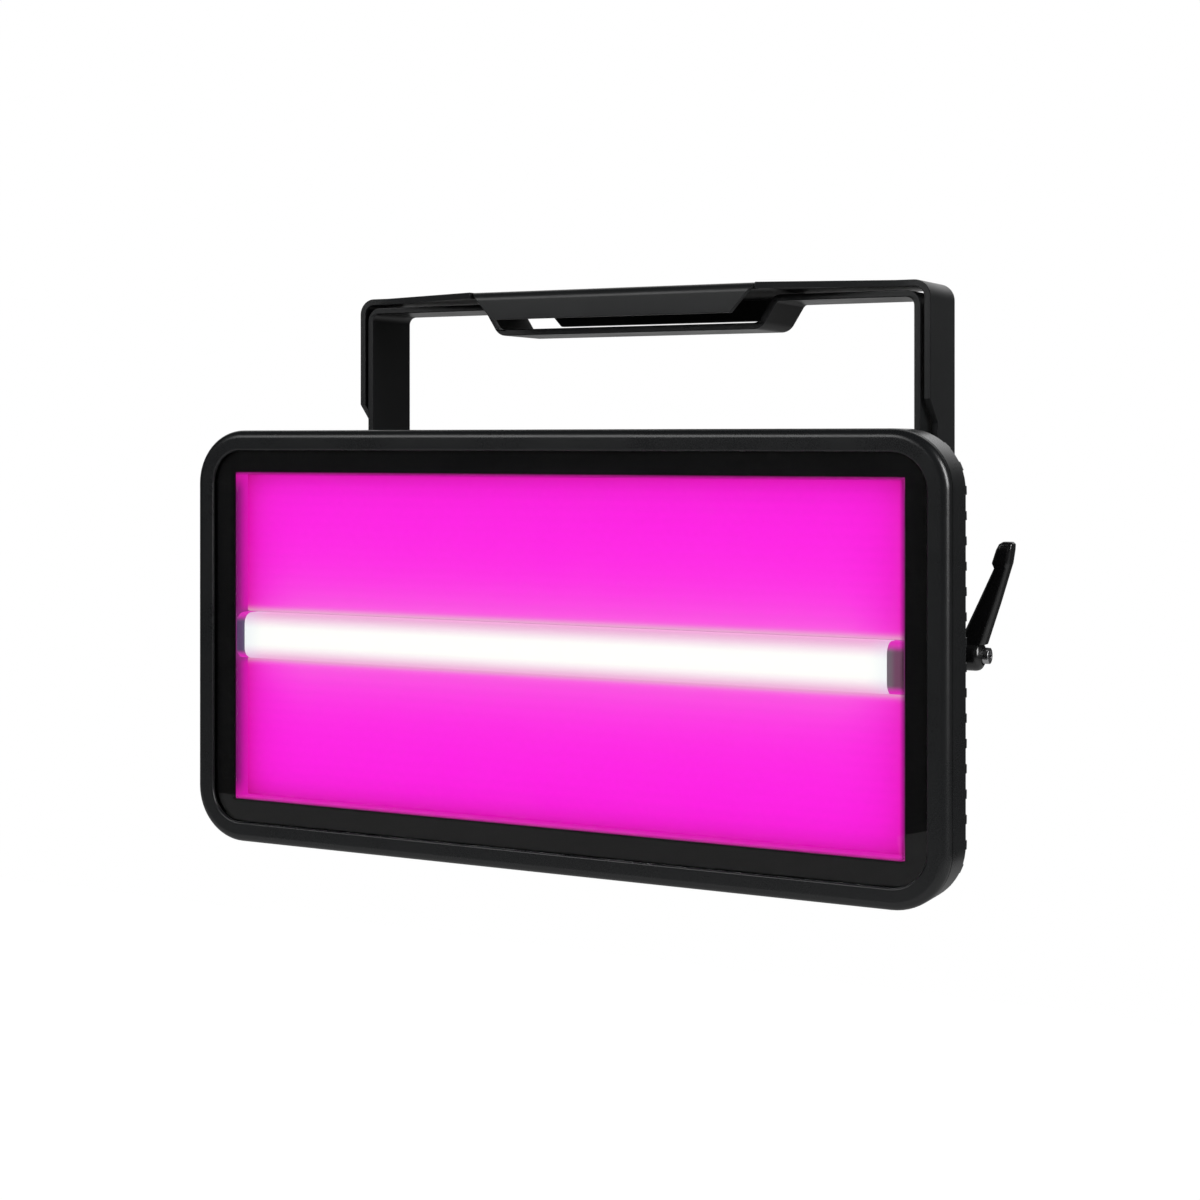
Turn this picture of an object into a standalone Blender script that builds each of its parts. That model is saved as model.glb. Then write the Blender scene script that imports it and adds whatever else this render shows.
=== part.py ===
"""Fx panel light in a double yoke, hung from above.

The frame is in metres with Z up. The light faces -Y and hangs from the origin, the middle of the
clamp plate's top face. The tilt axis runs along X below it, at Y = 0. Depths are measured from the
front of the bezel towards +Y. What is named right is at +X.
"""

import math

import bmesh
import bpy
from mathutils import Matrix

# Gap between two solids that touch on the real light
GAP = 0.0003

# Front frame and glass
PANEL_WIDTH = 0.4315
PANEL_HEIGHT = 0.225
PANEL_RADIUS = 0.029
BEZEL_FACE = 0.0109
BEZEL_CHAMFER = 0.001
BEZEL_DEPTH = 0.005
BEZEL_FILLET = 0.0045
BEZEL_WALL = 0.005
LIP = 0.0015
GASKET = 0.0005
GLASS = 0.002
MASK = 0.0012
MASK_WIDTH = 0.0236
GROOVE = 0.001

# Light box, tube and boards
LIGHT_BOX_DEPTH = 0.0236
LIGHT_BOX_WALL = 0.002
DIFFUSER = 0.002
DIFFUSER_RECESS = 0.0091
TUBE_HALF = 0.0125
TUBE_RISE = 0.0125
TUBE_EDGE = 0.006
TUBE_WALL = 0.0016
TUBE_CAP = 0.00715
TUBE_SET_BACK = 0.0112
BOARD = 0.0016
SINK_PLATE = 0.0045
SINK_MARGIN = 0.015
FIN_COUNT = 12
FIN_THICKNESS = 0.003
FIN_HEIGHT = 0.0233
FIN_SPAN = 0.280
FIN_LENGTH = 0.150

# Rear housing
WALL = 0.0025
RIM_END = 0.0253
SHOULDER_INSET = 0.012
BOX_WIDTH = 0.316
BOX_HEIGHT = 0.180
BOX_BACK_HEIGHT = 0.164
BOX_RADIUS = 0.014
BOX_DEPTH = 0.1037
BOSS_LENGTH = 0.0173
RIB_COUNT = 106
RIB_WIDTH = 0.0042
RIB_REACH = 0.0022
COVER = 0.0015

# What the rear cover carries, from the middle of the panel: X, Z
FAN_SIZE = 0.080
FAN_DEPTH = 0.020
FAN_BORE = FAN_SIZE - 0.004
FAN_OFFSET = BOX_WIDTH / 2 - BOSS_LENGTH - 0.0007 - FAN_SIZE / 2
GUARD = 0.001
FAN_HUB = 0.015
SPOKES = 0.0023
SPOKE_HALF = 0.002
SPOKE_ROOT = 1.2
BLADE_COUNT = 7
BLADE_PITCH = math.radians(35)
EYE_AT = (0.0, BOX_BACK_HEIGHT / 2 - 0.010)
DISPLAY_AT = (0.0, EYE_AT[1] - 0.020)
DISPLAY_WIDTH = 0.062
DISPLAY_HEIGHT = 0.020
BUTTON_Z = DISPLAY_AT[1] - 0.026
BUTTON_PITCH = 0.018
BUTTON_RADIUS = 0.0045
BUTTON_TRAVEL = 0.0008
DATA_Z = BUTTON_Z - 0.036
POWER_Z = DATA_Z - 0.038
SOCKET_X = 0.017
FLANGE_WIDTH = 0.026
FLANGE_HEIGHT = 0.031
BARREL_RADIUS = 0.0118
CUP_RADIUS = 0.0095
CUP_DEPTH = 0.014
CUP_RISE = 0.0025
SOCKET_DEPTH = 0.019
FLANGE = 0.002
DATA_FLANGE = 0.003
PIN_CIRCLE = 0.0045
LATCH_RISE = 0.0128
LATCH_WIDTH = 0.0084
LATCH_HEIGHT = 0.0028
FUSE_AT = (SOCKET_X + 0.027, POWER_Z)
FUSE_BODY = 0.0062
FUSE_FLANGE = 0.0085
FUSE_DEPTH = 0.020
FUSE_BORE = 0.0038
FUSE_CAP = 0.0065
FUSE_CAP_RISE = 0.0054
EYE_FOOT = 0.002
EYE_BAR = 0.002
EYE_LOOP = 0.009
SUPPLY_SIZE = (0.200, 0.035, 0.080)
CONTROL_SIZE = (0.100, 0.050)
CONTROL_Z = (DISPLAY_AT[1] + BUTTON_Z) / 2 + 0.001

# Yoke
REACH = 0.1189
AXIS_DROP = 0.1929
PANEL_RISE = 0.0035
STRIP_WIDTH = 0.040
STRIP = 0.0035
OUTER_BEND = 0.009
INNER_BEND = 0.008
PLATE_HALF = 0.086
PLATE_DEPTH = 0.0848
FLARE_HALF = 0.155
FLAP_DROP = 0.0156
FLAP_SLANT = 0.014
FLAP_BEND = 0.005
CLAMP_HOLE = 0.0065
SIDE_HOLE = 0.0045
SIDE_HOLE_X = 0.053
JOG_DROP = 0.0614
JOG = 0.0115
JOG_FILLET = 0.003
EYE_RADIUS = 0.020
YOKE_GAP = 0.0018
DIP = 0.0146
DIP_TOP_HALF = 0.0885
DIP_SLOPE = math.radians(58)
DIP_TOP_BEND = 0.0045
DIP_BEND = 0.0065

# Pivots and clamping levers, outwards from the side of the box
STUD_RADIUS = 0.00395
STUD_BORE = 0.00425
BOSS_FLANGE = 0.003
BOSS_FLANGE_RADIUS = 0.019
BOSS_RADIUS = 0.008
FRICTION_WASHER = 0.003
GAP_WASHER = 0.0013
LEVER_WASHER = 0.0016
FRICTION_RADIUS = 0.016
GAP_WASHER_RADIUS = 0.012
LEVER_WASHER_RADIUS = 0.009
YOKE_BORE = 0.0043
COLLAR = 0.004
COLLAR_RADIUS = 0.00675
CORE_LENGTH = 0.0075
CORE_RADIUS = 0.0047
HUB_RADIUS = 0.008
HUB_LENGTH = 0.0153
HUB_END_RADIUS = 0.0051
LEVER_HEIGHT = 0.0587
SCREW_RADIUS = 0.0025
SCREW_HEAD_RADIUS = 0.0042
SCREW_HEAD = 0.0048
SCREW_KEY = 0.0023
SCREW_KEY_DEPTH = 0.0025
SPRING_WIRE = 0.0003
SPRING_TURNS = 2.5

CORNER_STEPS = 6
ROUND_STEPS = 24

# Levels and stations that follow from the sizes
PANEL_Z = PANEL_RISE - AXIS_DROP
GASKET_AT = LIP + GAP
GLASS_AT = GASKET_AT + GASKET + GAP
MASK_AT = GLASS_AT + GLASS + GAP
LIGHT_BOX_AT = MASK_AT + MASK + GAP
TUBE_AT = LIGHT_BOX_AT + TUBE_SET_BACK
BOARDS_AT = LIGHT_BOX_AT + LIGHT_BOX_DEPTH + GAP
SINK_AT = BOARDS_AT + BOARD + GAP
TUBE_LENGTH = PANEL_WIDTH - 2 * (MASK_WIDTH + TUBE_CAP)
STEP_AT = SINK_AT + SINK_PLATE + GAP
FINS_END = SINK_AT + SINK_PLATE + FIN_HEIGHT
BACK_AT = STEP_AT + WALL + BOX_DEPTH
COVER_AT = BACK_AT + GAP
FACE_AT = COVER_AT + COVER
ON_FACE = FACE_AT + GAP
BOSS_X = BOX_WIDTH / 2 + GAP
FRICTION_X = BOSS_X + BOSS_FLANGE + GAP
INNER_X = FRICTION_X + FRICTION_WASHER + GAP
GAP_WASHER_X = INNER_X + STRIP + GAP
OUTER_X = GAP_WASHER_X + GAP_WASHER + GAP
WASHER_X = OUTER_X + STRIP + GAP
COLLAR_X = WASHER_X + LEVER_WASHER + GAP
HUB_X = COLLAR_X + COLLAR + GAP
WEB_X = COLLAR_X + COLLAR + CORE_LENGTH + 0.001
CHAMBER_X = WEB_X + 0.001
HEAD_X = CHAMBER_X + 0.0047


# Helpers


def material(name, colour, roughness, metallic=0.0, glow=None):
    """A Principled material; glow is the strength of its own light."""
    made = bpy.data.materials.new(name)
    made.use_nodes = True
    shader = made.node_tree.nodes["Principled BSDF"]
    shader.inputs["Base Color"].default_value = (*colour, 1.0)
    shader.inputs["Roughness"].default_value = roughness
    shader.inputs["Metallic"].default_value = metallic
    if glow:
        shader.inputs["Emission Color"].default_value = (*colour, 1.0)
        shader.inputs["Emission Strength"].default_value = glow
    made.diffuse_color = (*colour, 1.0)
    return made


def in_scene(name, mesh, look=None, carrier=None):
    """Puts a mesh into the scene; one with no material is a cutter or an addition, and hidden."""
    made = bpy.data.objects.new(name, mesh)
    bpy.data.collections["fx_panel_light" if look else "cutters"].objects.link(made)
    if look:
        mesh.materials.append(look)
    else:
        made.hide_render = True
        made.display_type = "WIRE"
    if carrier:
        made.parent = carrier
        made.matrix_parent_inverse = Matrix.Translation(-carrier.location)
    return made


def pivot(name, place, carrier=None):
    """An empty on a joint's axis, which carries the pieces that move with it."""
    made = bpy.data.objects.new(name, None)
    made.location = place
    bpy.data.collections["fx_panel_light"].objects.link(made)
    if carrier:
        made.parent = carrier
        made.matrix_parent_inverse = Matrix.Translation(-carrier.location)
    return made


def smooth(made, angle=35):
    """Round shading, with the edges sharper than the angle kept."""
    made.data.shade_smooth()
    made.data.set_sharp_from_angle(angle=math.radians(angle))
    return made


def change(made, other, operation):
    boolean = made.modifiers.new(other.name, "BOOLEAN")
    boolean.operation = operation
    boolean.solver = "EXACT"
    boolean.object = other
    return made


def cut(made, *others):
    for other in others:
        change(made, other, "DIFFERENCE")
    return made


def join(made, *others):
    for other in others:
        change(made, other, "UNION")
    return made


def circle(radius, centre=(0.0, 0.0), steps=ROUND_STEPS):
    angles = [math.tau * i / steps for i in range(steps)]
    return [(centre[0] + radius * math.cos(a), centre[1] + radius * math.sin(a)) for a in angles]


def rounded(width, height, radius, centre=(0.0, 0.0), steps=CORNER_STEPS):
    """A rectangle with round corners; every one has the same count of points."""
    points = []
    for quarter, (sx, sy) in enumerate([(1, 1), (-1, 1), (-1, -1), (1, -1)]):
        cx = centre[0] + sx * (width / 2 - radius)
        cy = centre[1] + sy * (height / 2 - radius)
        for i in range(steps + 1):
            a = math.pi / 2 * (quarter + i / steps)
            points.append((cx + radius * math.cos(a), cy + radius * math.sin(a)))
    return points


def sector(inner, outer, bar, quarter, centre, steps=3, root=1.0):
    """The opening between two spokes of half width bar, wider by root at their inner end."""
    points = []
    for radius, way, half in [(inner, 1, bar * root), (outer, -1, bar)]:
        edge = math.asin(half / radius)
        angles = [edge + (math.pi / 2 - 2 * edge) * i / steps for i in range(steps + 1)]
        for a in angles[::way]:
            a += math.pi / 2 * quarter
            points.append((centre[0] + radius * math.cos(a), centre[1] + radius * math.sin(a)))
    return points


def plate(name, outlines, axis, low, high, look=None, carrier=None):
    """Fills outlines, the holes among them, and gives them thickness from low to high.

    The outlines are in XY for axis Z, in YZ for axis X and in XZ for axis Y.
    """
    curve = bpy.data.curves.new(name, "CURVE")
    curve.dimensions = "2D"
    curve.fill_mode = "BOTH"
    curve.extrude = 1.0
    for outline in outlines:
        spline = curve.splines.new("POLY")
        spline.points.add(len(outline) - 1)
        for point, (u, v) in zip(spline.points, outline):
            point.co = (u, v, 0.0, 1.0)
        spline.use_cyclic_u = True
    filled = bpy.data.objects.new(name, curve)
    mesh = bpy.data.meshes.new_from_object(filled)
    bpy.data.objects.remove(filled)
    bpy.data.curves.remove(curve)
    work = bmesh.new()
    work.from_mesh(mesh)
    bmesh.ops.remove_doubles(work, verts=work.verts, dist=1e-7)
    for vertex in work.verts:
        u, v = (round(part, 7) for part in vertex.co[:2])
        w = round(high if vertex.co[2] > 0 else low, 7)
        vertex.co = {"X": (w, u, v), "Y": (u, w, v), "Z": (u, v, w)}[axis]
    if work.calc_volume(signed=True) < 0:
        bmesh.ops.reverse_faces(work, faces=work.faces)
    work.to_mesh(mesh)
    work.free()
    mesh.name = name
    return in_scene(name, mesh, look, carrier)


def block(name, low, high, look=None, carrier=None):
    """A box from one corner to the other."""
    outline = [(low[0], low[1]), (high[0], low[1]), (high[0], high[1]), (low[0], high[1])]
    return plate(name, [outline], "Z", low[2], high[2], look, carrier)


def loft(name, loops, look=None, carrier=None, closed=False):
    """Skins loops of equal count; closed joins the last to the first, else both ends are filled."""
    work = bmesh.new()
    rings = [[work.verts.new(point) for point in loop] for loop in loops]
    pairs = list(zip(rings, rings[1:])) + ([(rings[-1], rings[0])] if closed else [])
    for one, two in pairs:
        for i in range(len(one)):
            work.faces.new((one[i - 1], one[i], two[i], two[i - 1]))
    if not closed:
        work.faces.new(rings[0])
        work.faces.new(rings[-1])
    bmesh.ops.recalc_face_normals(work, faces=work.faces)
    mesh = bpy.data.meshes.new(name)
    work.to_mesh(mesh)
    work.free()
    return in_scene(name, mesh, look, carrier)


def turned(name, profile, way, place, look=None, carrier=None, ring=False, steps=ROUND_STEPS):
    """Turns (along, radius) points about an axis through place that points +X, -X or +Y.

    The profile runs from the low end over the outside to the high end. A ring's closes on itself.
    """
    mesh = bpy.data.meshes.new(name)
    edges = [(i, i + 1) for i in range(len(profile) - 1)]
    if ring:
        edges.append((len(profile) - 1, 0))
    mesh.from_pydata([(radius, 0.0, along) for along, radius in profile], edges, [])
    made = in_scene(name, mesh, look, carrier)
    made.location = place
    right = math.pi / 2
    made.rotation_euler = {"+X": (0, right, 0), "-X": (0, -right, 0), "+Y": (-right, 0, 0)}[way]
    screw = made.modifiers.new("turn", "SCREW")
    screw.steps = screw.render_steps = steps
    screw.use_merge_vertices = True
    screw.merge_threshold = 1e-6
    screw.use_normal_flip = True
    screw.use_smooth_shade = False
    return made


def rod(name, path, radius, look=None, carrier=None, sides=2):
    """A round bar along a path, with its ends filled."""
    curve = bpy.data.curves.new(name, "CURVE")
    curve.dimensions = "3D"
    curve.bevel_depth = radius
    curve.bevel_resolution = sides
    curve.use_fill_caps = True
    spline = curve.splines.new("POLY")
    spline.points.add(len(path) - 1)
    for point, place in zip(spline.points, path):
        point.co = (*place, 1.0)
    bar = bpy.data.objects.new(name, curve)
    mesh = bpy.data.meshes.new_from_object(bar)
    bpy.data.objects.remove(bar)
    bpy.data.curves.remove(curve)
    work = bmesh.new()
    work.from_mesh(mesh)
    bmesh.ops.remove_doubles(work, verts=work.verts, dist=1e-6)
    bmesh.ops.recalc_face_normals(work, faces=work.faces)
    work.to_mesh(mesh)
    work.free()
    mesh.name = name
    return in_scene(name, mesh, look, carrier)


def strip(path, bends, steps=5):
    """The outline of a bent strip of sheet, from the corners of its middle line."""
    line = [(path[0], (0.0, 0.0))]
    for before, corner, after, bend in zip(path, path[1:], path[2:], bends):
        a = math.atan2(corner[1] - before[1], corner[0] - before[0])
        turn = math.atan2(after[1] - corner[1], after[0] - corner[0]) - a
        turn = (turn + math.pi) % math.tau - math.pi
        back = bend * math.tan(abs(turn) / 2)
        side = math.copysign(1.0, turn)
        start = (corner[0] - back * math.cos(a), corner[1] - back * math.sin(a))
        cx = start[0] - side * bend * math.sin(a)
        cy = start[1] + side * bend * math.cos(a)
        for i in range(steps + 1):
            b = a + turn * i / steps
            point = (cx + side * bend * math.sin(b), cy - side * bend * math.cos(b))
            line.append((point, (-math.sin(b), math.cos(b))))
    ends = math.atan2(path[-1][1] - path[-2][1], path[-1][0] - path[-2][0])
    start = math.atan2(path[1][1] - path[0][1], path[1][0] - path[0][0])
    line[0] = (path[0], (-math.sin(start), math.cos(start)))
    line.append((path[-1], (-math.sin(ends), math.cos(ends))))
    half = STRIP / 2
    over = [(p[0] + half * n[0], p[1] + half * n[1]) for p, n in line]
    under = [(p[0] - half * n[0], p[1] - half * n[1]) for p, n in line]
    return over + under[::-1]


def at_depth(outline, depth):
    """Places an outline in XZ, centred on the panel, behind the bezel's front."""
    return [(x, depth - REACH, z + PANEL_Z) for x, z in outline]


def frame_loop(inset, depth, radius=None):
    """The panel's outline, drawn in by inset."""
    corner = PANEL_RADIUS - inset if radius is None else radius
    return at_depth(rounded(PANEL_WIDTH - 2 * inset, PANEL_HEIGHT - 2 * inset, corner), depth)


def box_loop(width, height, radius, depth):
    return at_depth(rounded(width, height, radius), depth)


def sheet(name, outlines, start, end, look=None, carrier=None):
    """A flat piece that faces the front, its outlines measured from the middle of the panel."""
    placed = [[(x, z + PANEL_Z) for x, z in outline] for outline in outlines]
    return plate(name, placed, "Y", start - REACH, end - REACH, look, carrier)


def rear_turned(name, profile, at, look=None, carrier=None, ring=False, steps=ROUND_STEPS):
    """A turned piece on an axis along Y, its profile in depths."""
    origin = ON_FACE
    placed = [(depth - origin, radius) for depth, radius in profile]
    place = (at[0], origin - REACH, at[1] + PANEL_Z)
    return turned(name, placed, "+Y", place, look, carrier, ring, steps)


# Front


def bezel(look, carrier):
    wide = BEZEL_FACE
    bend = [math.pi / 2 * i / 4 for i in range(5)]
    fillet = [
        (BEZEL_FILLET * (1 - math.cos(a)), BEZEL_FILLET * (1 - math.sin(a))) for a in bend
    ]
    section = [(0.0, BEZEL_DEPTH), *fillet, (wide - BEZEL_CHAMFER, 0.0), (wide, LIP / 2), (wide, LIP)]
    section += [(BEZEL_WALL, LIP), (BEZEL_WALL, BEZEL_DEPTH)]
    made = loft("front_bezel", [frame_loop(*s) for s in section], look, carrier, closed=True)
    return smooth(made)


def flat_ring(name, outer, inner, start, end, look, carrier, radius=None):
    """A rectangular ring between two insets and two depths."""
    loops = [frame_loop(outer, start), frame_loop(outer, end)]
    loops += [frame_loop(inner, end, radius), frame_loop(inner, start, radius)]
    return loft(name, loops, look, carrier, closed=True)


def front(looks, carrier):
    bezel(looks["housing"], carrier)
    edge = BEZEL_WALL + GAP
    flat_ring(
        "glass_gasket",
        edge + GAP,
        BEZEL_FACE - 0.0004,
        GASKET_AT,
        GASKET_AT + GASKET,
        looks["rubber"],
        carrier,
    )
    outline = rounded(PANEL_WIDTH - 2 * edge, PANEL_HEIGHT - 2 * edge, PANEL_RADIUS - edge)
    sheet("front_glass", [outline], GLASS_AT, GLASS_AT + GLASS, looks["glass"], carrier)
    flat_ring(
        "light_mask", edge, MASK_WIDTH, MASK_AT, MASK_AT + MASK, looks["mask"], carrier, 0.0015
    )


# Light source


def light_box(look, carrier):
    outer = MASK_WIDTH - LIGHT_BOX_WALL
    end = LIGHT_BOX_AT + LIGHT_BOX_DEPTH
    loops = [frame_loop(outer, LIGHT_BOX_AT, 0.0035), frame_loop(outer, end, 0.0035)]
    loops += [frame_loop(MASK_WIDTH, end, 0.0015), frame_loop(MASK_WIDTH, LIGHT_BOX_AT, 0.0015)]
    loft("light_box", loops, look, carrier, closed=True)


def diffusers(look, carrier):
    """Two sheets, above and below the tube."""
    start = LIGHT_BOX_AT + DIFFUSER_RECESS
    width = PANEL_WIDTH - 2 * (MASK_WIDTH + GAP)
    top = PANEL_HEIGHT / 2 - MASK_WIDTH - GAP
    low = TUBE_HALF + GAP
    for name, side in [("upper_diffuser", 1), ("lower_diffuser", -1)]:
        outline = rounded(width, top - low, 0.0012, (0.0, side * (top + low) / 2))
        sheet(name, [outline], start, start + DIFFUSER, look, carrier)


def tube_section(inset=0.0, steps=6):
    """The lens from below over its flat front to above, in YZ, drawn in by inset."""
    edge, half = TUBE_EDGE - inset, TUBE_HALF - inset
    front = TUBE_AT - TUBE_RISE + inset - REACH
    points = [(TUBE_AT - REACH, -half)]
    for side in (-1, 1):
        bend = [math.pi / 2 * i / steps for i in range(steps + 1)][::-side]
        for a in bend:
            y = front + edge * (1 - math.sin(a))
            points.append((y, side * (half - edge + edge * math.cos(a))))
    points.append((TUBE_AT - REACH, half))
    return [(y, PANEL_Z + z) for y, z in points]


def tube(looks, carrier):
    """The lens of the strobe tube, its end caps and the trough behind it."""
    half = TUBE_LENGTH / 2
    outline = tube_section() + tube_section(TUBE_WALL)[::-1]
    smooth(plate("tube_lens", [outline], "X", -half, half, looks["tube"], carrier))
    end = PANEL_WIDTH / 2 - MASK_WIDTH - GAP
    for name, side in [("tube_end_cap_right", 1), ("tube_end_cap_left", -1)]:
        low, high = sorted((side * (half + GAP), side * end))
        cap = plate(name, [tube_section()], "X", low, high, looks["cap"], carrier)
        smooth(cap)
    outer, inner = TUBE_HALF + GAP, TUBE_HALF - TUBE_WALL + GAP
    start, floor, back = TUBE_AT + GAP, BOARDS_AT, BOARDS_AT + BOARD
    section = [(start, outer), (back, outer), (back, -outer), (start, -outer)]
    section += [(start, -inner), (floor, -inner), (floor, inner), (start, inner)]
    trough = [(depth - REACH, z + PANEL_Z) for depth, z in section]
    plate("tube_reflector", [trough], "X", -end, end, looks["white"], carrier)
    width, height = TUBE_LENGTH, 2 * (inner - 0.003)
    board = rounded(width, height, 0.001)
    back = BOARDS_AT - GAP
    sheet("white_led_board", [board], back - BOARD, back, looks["board"], carrier)


def colour_boards(look, carrier):
    """The boards with the red, green and blue LEDs, behind the diffusers."""
    inset = MASK_WIDTH - LIGHT_BOX_WALL - 0.0026
    width = PANEL_WIDTH - 2 * inset
    top = PANEL_HEIGHT / 2 - inset
    low = TUBE_HALF + 2 * GAP
    for name, side in [("rgb_led_board_upper", 1), ("rgb_led_board_lower", -1)]:
        outline = rounded(width, top - low, 0.003, (0.0, side * (top + low) / 2))
        sheet(name, [outline], BOARDS_AT, BOARDS_AT + BOARD, look, carrier)


def heat_sink(look, carrier):
    """An aluminium plate with upright fins on its back."""
    margin = 2 * SINK_MARGIN
    outline = rounded(PANEL_WIDTH - margin, PANEL_HEIGHT - margin, PANEL_RADIUS - SINK_MARGIN)
    made = sheet("heat_sink", [outline], SINK_AT, SINK_AT + SINK_PLATE, look, carrier)
    root = SINK_AT + SINK_PLATE - 0.001
    comb = [(FIN_SPAN / 2, root - 0.002), (-FIN_SPAN / 2, root - 0.002)]
    for i in range(FIN_COUNT):
        x = (FIN_SPAN - FIN_THICKNESS) * (i / (FIN_COUNT - 1) - 0.5)
        left, right = x - FIN_THICKNESS / 2, x + FIN_THICKNESS / 2
        comb += [(left, root), (left, FINS_END), (right, FINS_END), (right, root)]
    del comb[2], comb[-1]
    comb = [(x, depth - REACH) for x, depth in comb]
    low, high = PANEL_Z - FIN_LENGTH / 2, PANEL_Z + FIN_LENGTH / 2
    return join(made, plate("fins", [comb], "Z", low, high))


# Rear housing


def rib_stations():
    """Places at equal steps round the panel's outline, each with its outward direction.

    The first is halfway up the right side.
    """
    w, h, r = PANEL_WIDTH / 2 - PANEL_RADIUS, PANEL_HEIGHT / 2 - PANEL_RADIUS, PANEL_RADIUS
    arc = r * math.pi / 2
    # Each leg starts at a corner's end: its length, its start, its direction, and the corner
    legs = [
        (2 * w, (-w, h + r), (1, 0), (w, h), math.pi / 2),
        (2 * h, (w + r, h), (0, -1), (w, -h), 0.0),
        (2 * w, (w, -h - r), (-1, 0), (-w, -h), -math.pi / 2),
        (2 * h, (-w - r, -h), (0, 1), (-w, h), math.pi),
    ]
    whole = sum(leg[0] + arc for leg in legs)
    found = []
    for i in range(RIB_COUNT):
        s = (2 * w + arc + h + whole * i / RIB_COUNT) % whole
        for length, start, way, corner, angle in legs:
            if s < length:
                place = (start[0] + way[0] * s, start[1] + way[1] * s)
                found.append((place, (-way[1], way[0])))
                break
            s -= length
            if s < arc:
                a = angle - s / r
                out = (math.cos(a), math.sin(a))
                found.append(((corner[0] + r * out[0], corner[1] + r * out[1]), out))
                break
            s -= arc
    return found


def ribs():
    """The ribs that run back over the shoulder, flush with the side of the rim."""
    end = STEP_AT + WALL - 0.0005
    section = [
        (0.00015, RIM_END - 0.0003),
        (0.00015, RIM_END + RIB_REACH),
        (SHOULDER_INSET - 0.003, end),
        (SHOULDER_INSET - 0.0002, end),
        (SHOULDER_INSET + 0.0005, end - 0.0007),
        (0.0016, RIM_END - 0.0003),
    ]
    work = bmesh.new()
    for (x, z), (nx, nz) in rib_stations():
        sides = []
        for half in (-RIB_WIDTH / 2, RIB_WIDTH / 2):
            ring = []
            for inset, depth in section:
                px = x - nx * inset - nz * half
                pz = z - nz * inset + nx * half
                ring.append(work.verts.new((px, depth - REACH, pz + PANEL_Z)))
            sides.append(ring)
        one, two = sides
        for i in range(len(section)):
            work.faces.new((one[i - 1], one[i], two[i], two[i - 1]))
        work.faces.new(one)
        work.faces.new(two)
    bmesh.ops.recalc_face_normals(work, faces=work.faces)
    mesh = bpy.data.meshes.new("ribs")
    work.to_mesh(mesh)
    work.free()
    return in_scene("ribs", mesh)


def rear_housing(look, carrier):
    """The moulded shell: rim, ribbed shoulder, and the box that holds the supply and the fans."""
    step = STEP_AT + WALL
    rim = BEZEL_DEPTH + GROOVE
    seat = BEZEL_DEPTH + GAP
    inner = 2 * WALL
    loops = [
        frame_loop(0.0, rim),
        frame_loop(0.0, RIM_END),
        frame_loop(SHOULDER_INSET, step),
        box_loop(BOX_WIDTH, BOX_HEIGHT, BOX_RADIUS, step),
        box_loop(BOX_WIDTH, BOX_BACK_HEIGHT, BOX_RADIUS, BACK_AT),
        box_loop(BOX_WIDTH - inner, BOX_BACK_HEIGHT - inner, BOX_RADIUS - WALL, BACK_AT),
        box_loop(BOX_WIDTH - inner, BOX_HEIGHT - inner, BOX_RADIUS - WALL, STEP_AT),
        frame_loop(SHOULDER_INSET + 0.0015, STEP_AT),
        frame_loop(WALL, RIM_END - 0.001),
        frame_loop(WALL, seat),
        frame_loop(0.001, seat),
        frame_loop(0.001, rim),
    ]
    made = loft("rear_housing", loops, look, carrier, closed=True)
    reach = BOX_WIDTH / 2 + 0.01
    hole = [(-reach, 0.0), (-reach, BOSS_RADIUS + GAP), (reach, BOSS_RADIUS + GAP), (reach, 0.0)]
    cutter = turned("boss_holes", hole, "+X", (0.0, 0.0, -AXIS_DROP))
    return smooth(cut(join(made, ribs()), cutter))


def pivot_boss(name, way, look, carrier):
    """A threaded boss through the side of the box, with a flange outside."""
    end = BOSS_X - BOSS_LENGTH
    face = BOSS_X + BOSS_FLANGE
    section = [(end, STUD_BORE), (end, BOSS_RADIUS), (BOSS_X, BOSS_RADIUS)]
    section += [(BOSS_X, BOSS_FLANGE_RADIUS), (face, BOSS_FLANGE_RADIUS), (face, STUD_BORE)]
    return turned(name, section, way, (0, 0, -AXIS_DROP), look, carrier, ring=True, steps=20)


# Rear cover and what it carries


def rear_cover(look, carrier):
    outlines = [rounded(BOX_WIDTH - 0.001, BOX_BACK_HEIGHT - 0.001, BOX_RADIUS - 0.0005)]
    outlines += [circle(FAN_BORE / 2, (x, 0.0)) for x in (-FAN_OFFSET, FAN_OFFSET)]
    wide, high = DISPLAY_WIDTH + 2 * GAP, DISPLAY_HEIGHT + 2 * GAP
    outlines.append(rounded(wide, high, 0.001, DISPLAY_AT, 1))
    outlines += [circle(BUTTON_RADIUS + GAP, (x, BUTTON_Z), 16) for x in button_places()]
    for z in (DATA_Z, POWER_Z):
        outlines += [circle(BARREL_RADIUS + GAP, (x, z), 24) for x in (-SOCKET_X, SOCKET_X)]
    outlines.append(circle(FUSE_BODY + GAP, FUSE_AT, 16))
    sheet("rear_cover", outlines, COVER_AT, FACE_AT, look, carrier)


def button_places():
    return [BUTTON_PITCH * (i - 1.5) for i in range(4)]


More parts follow.
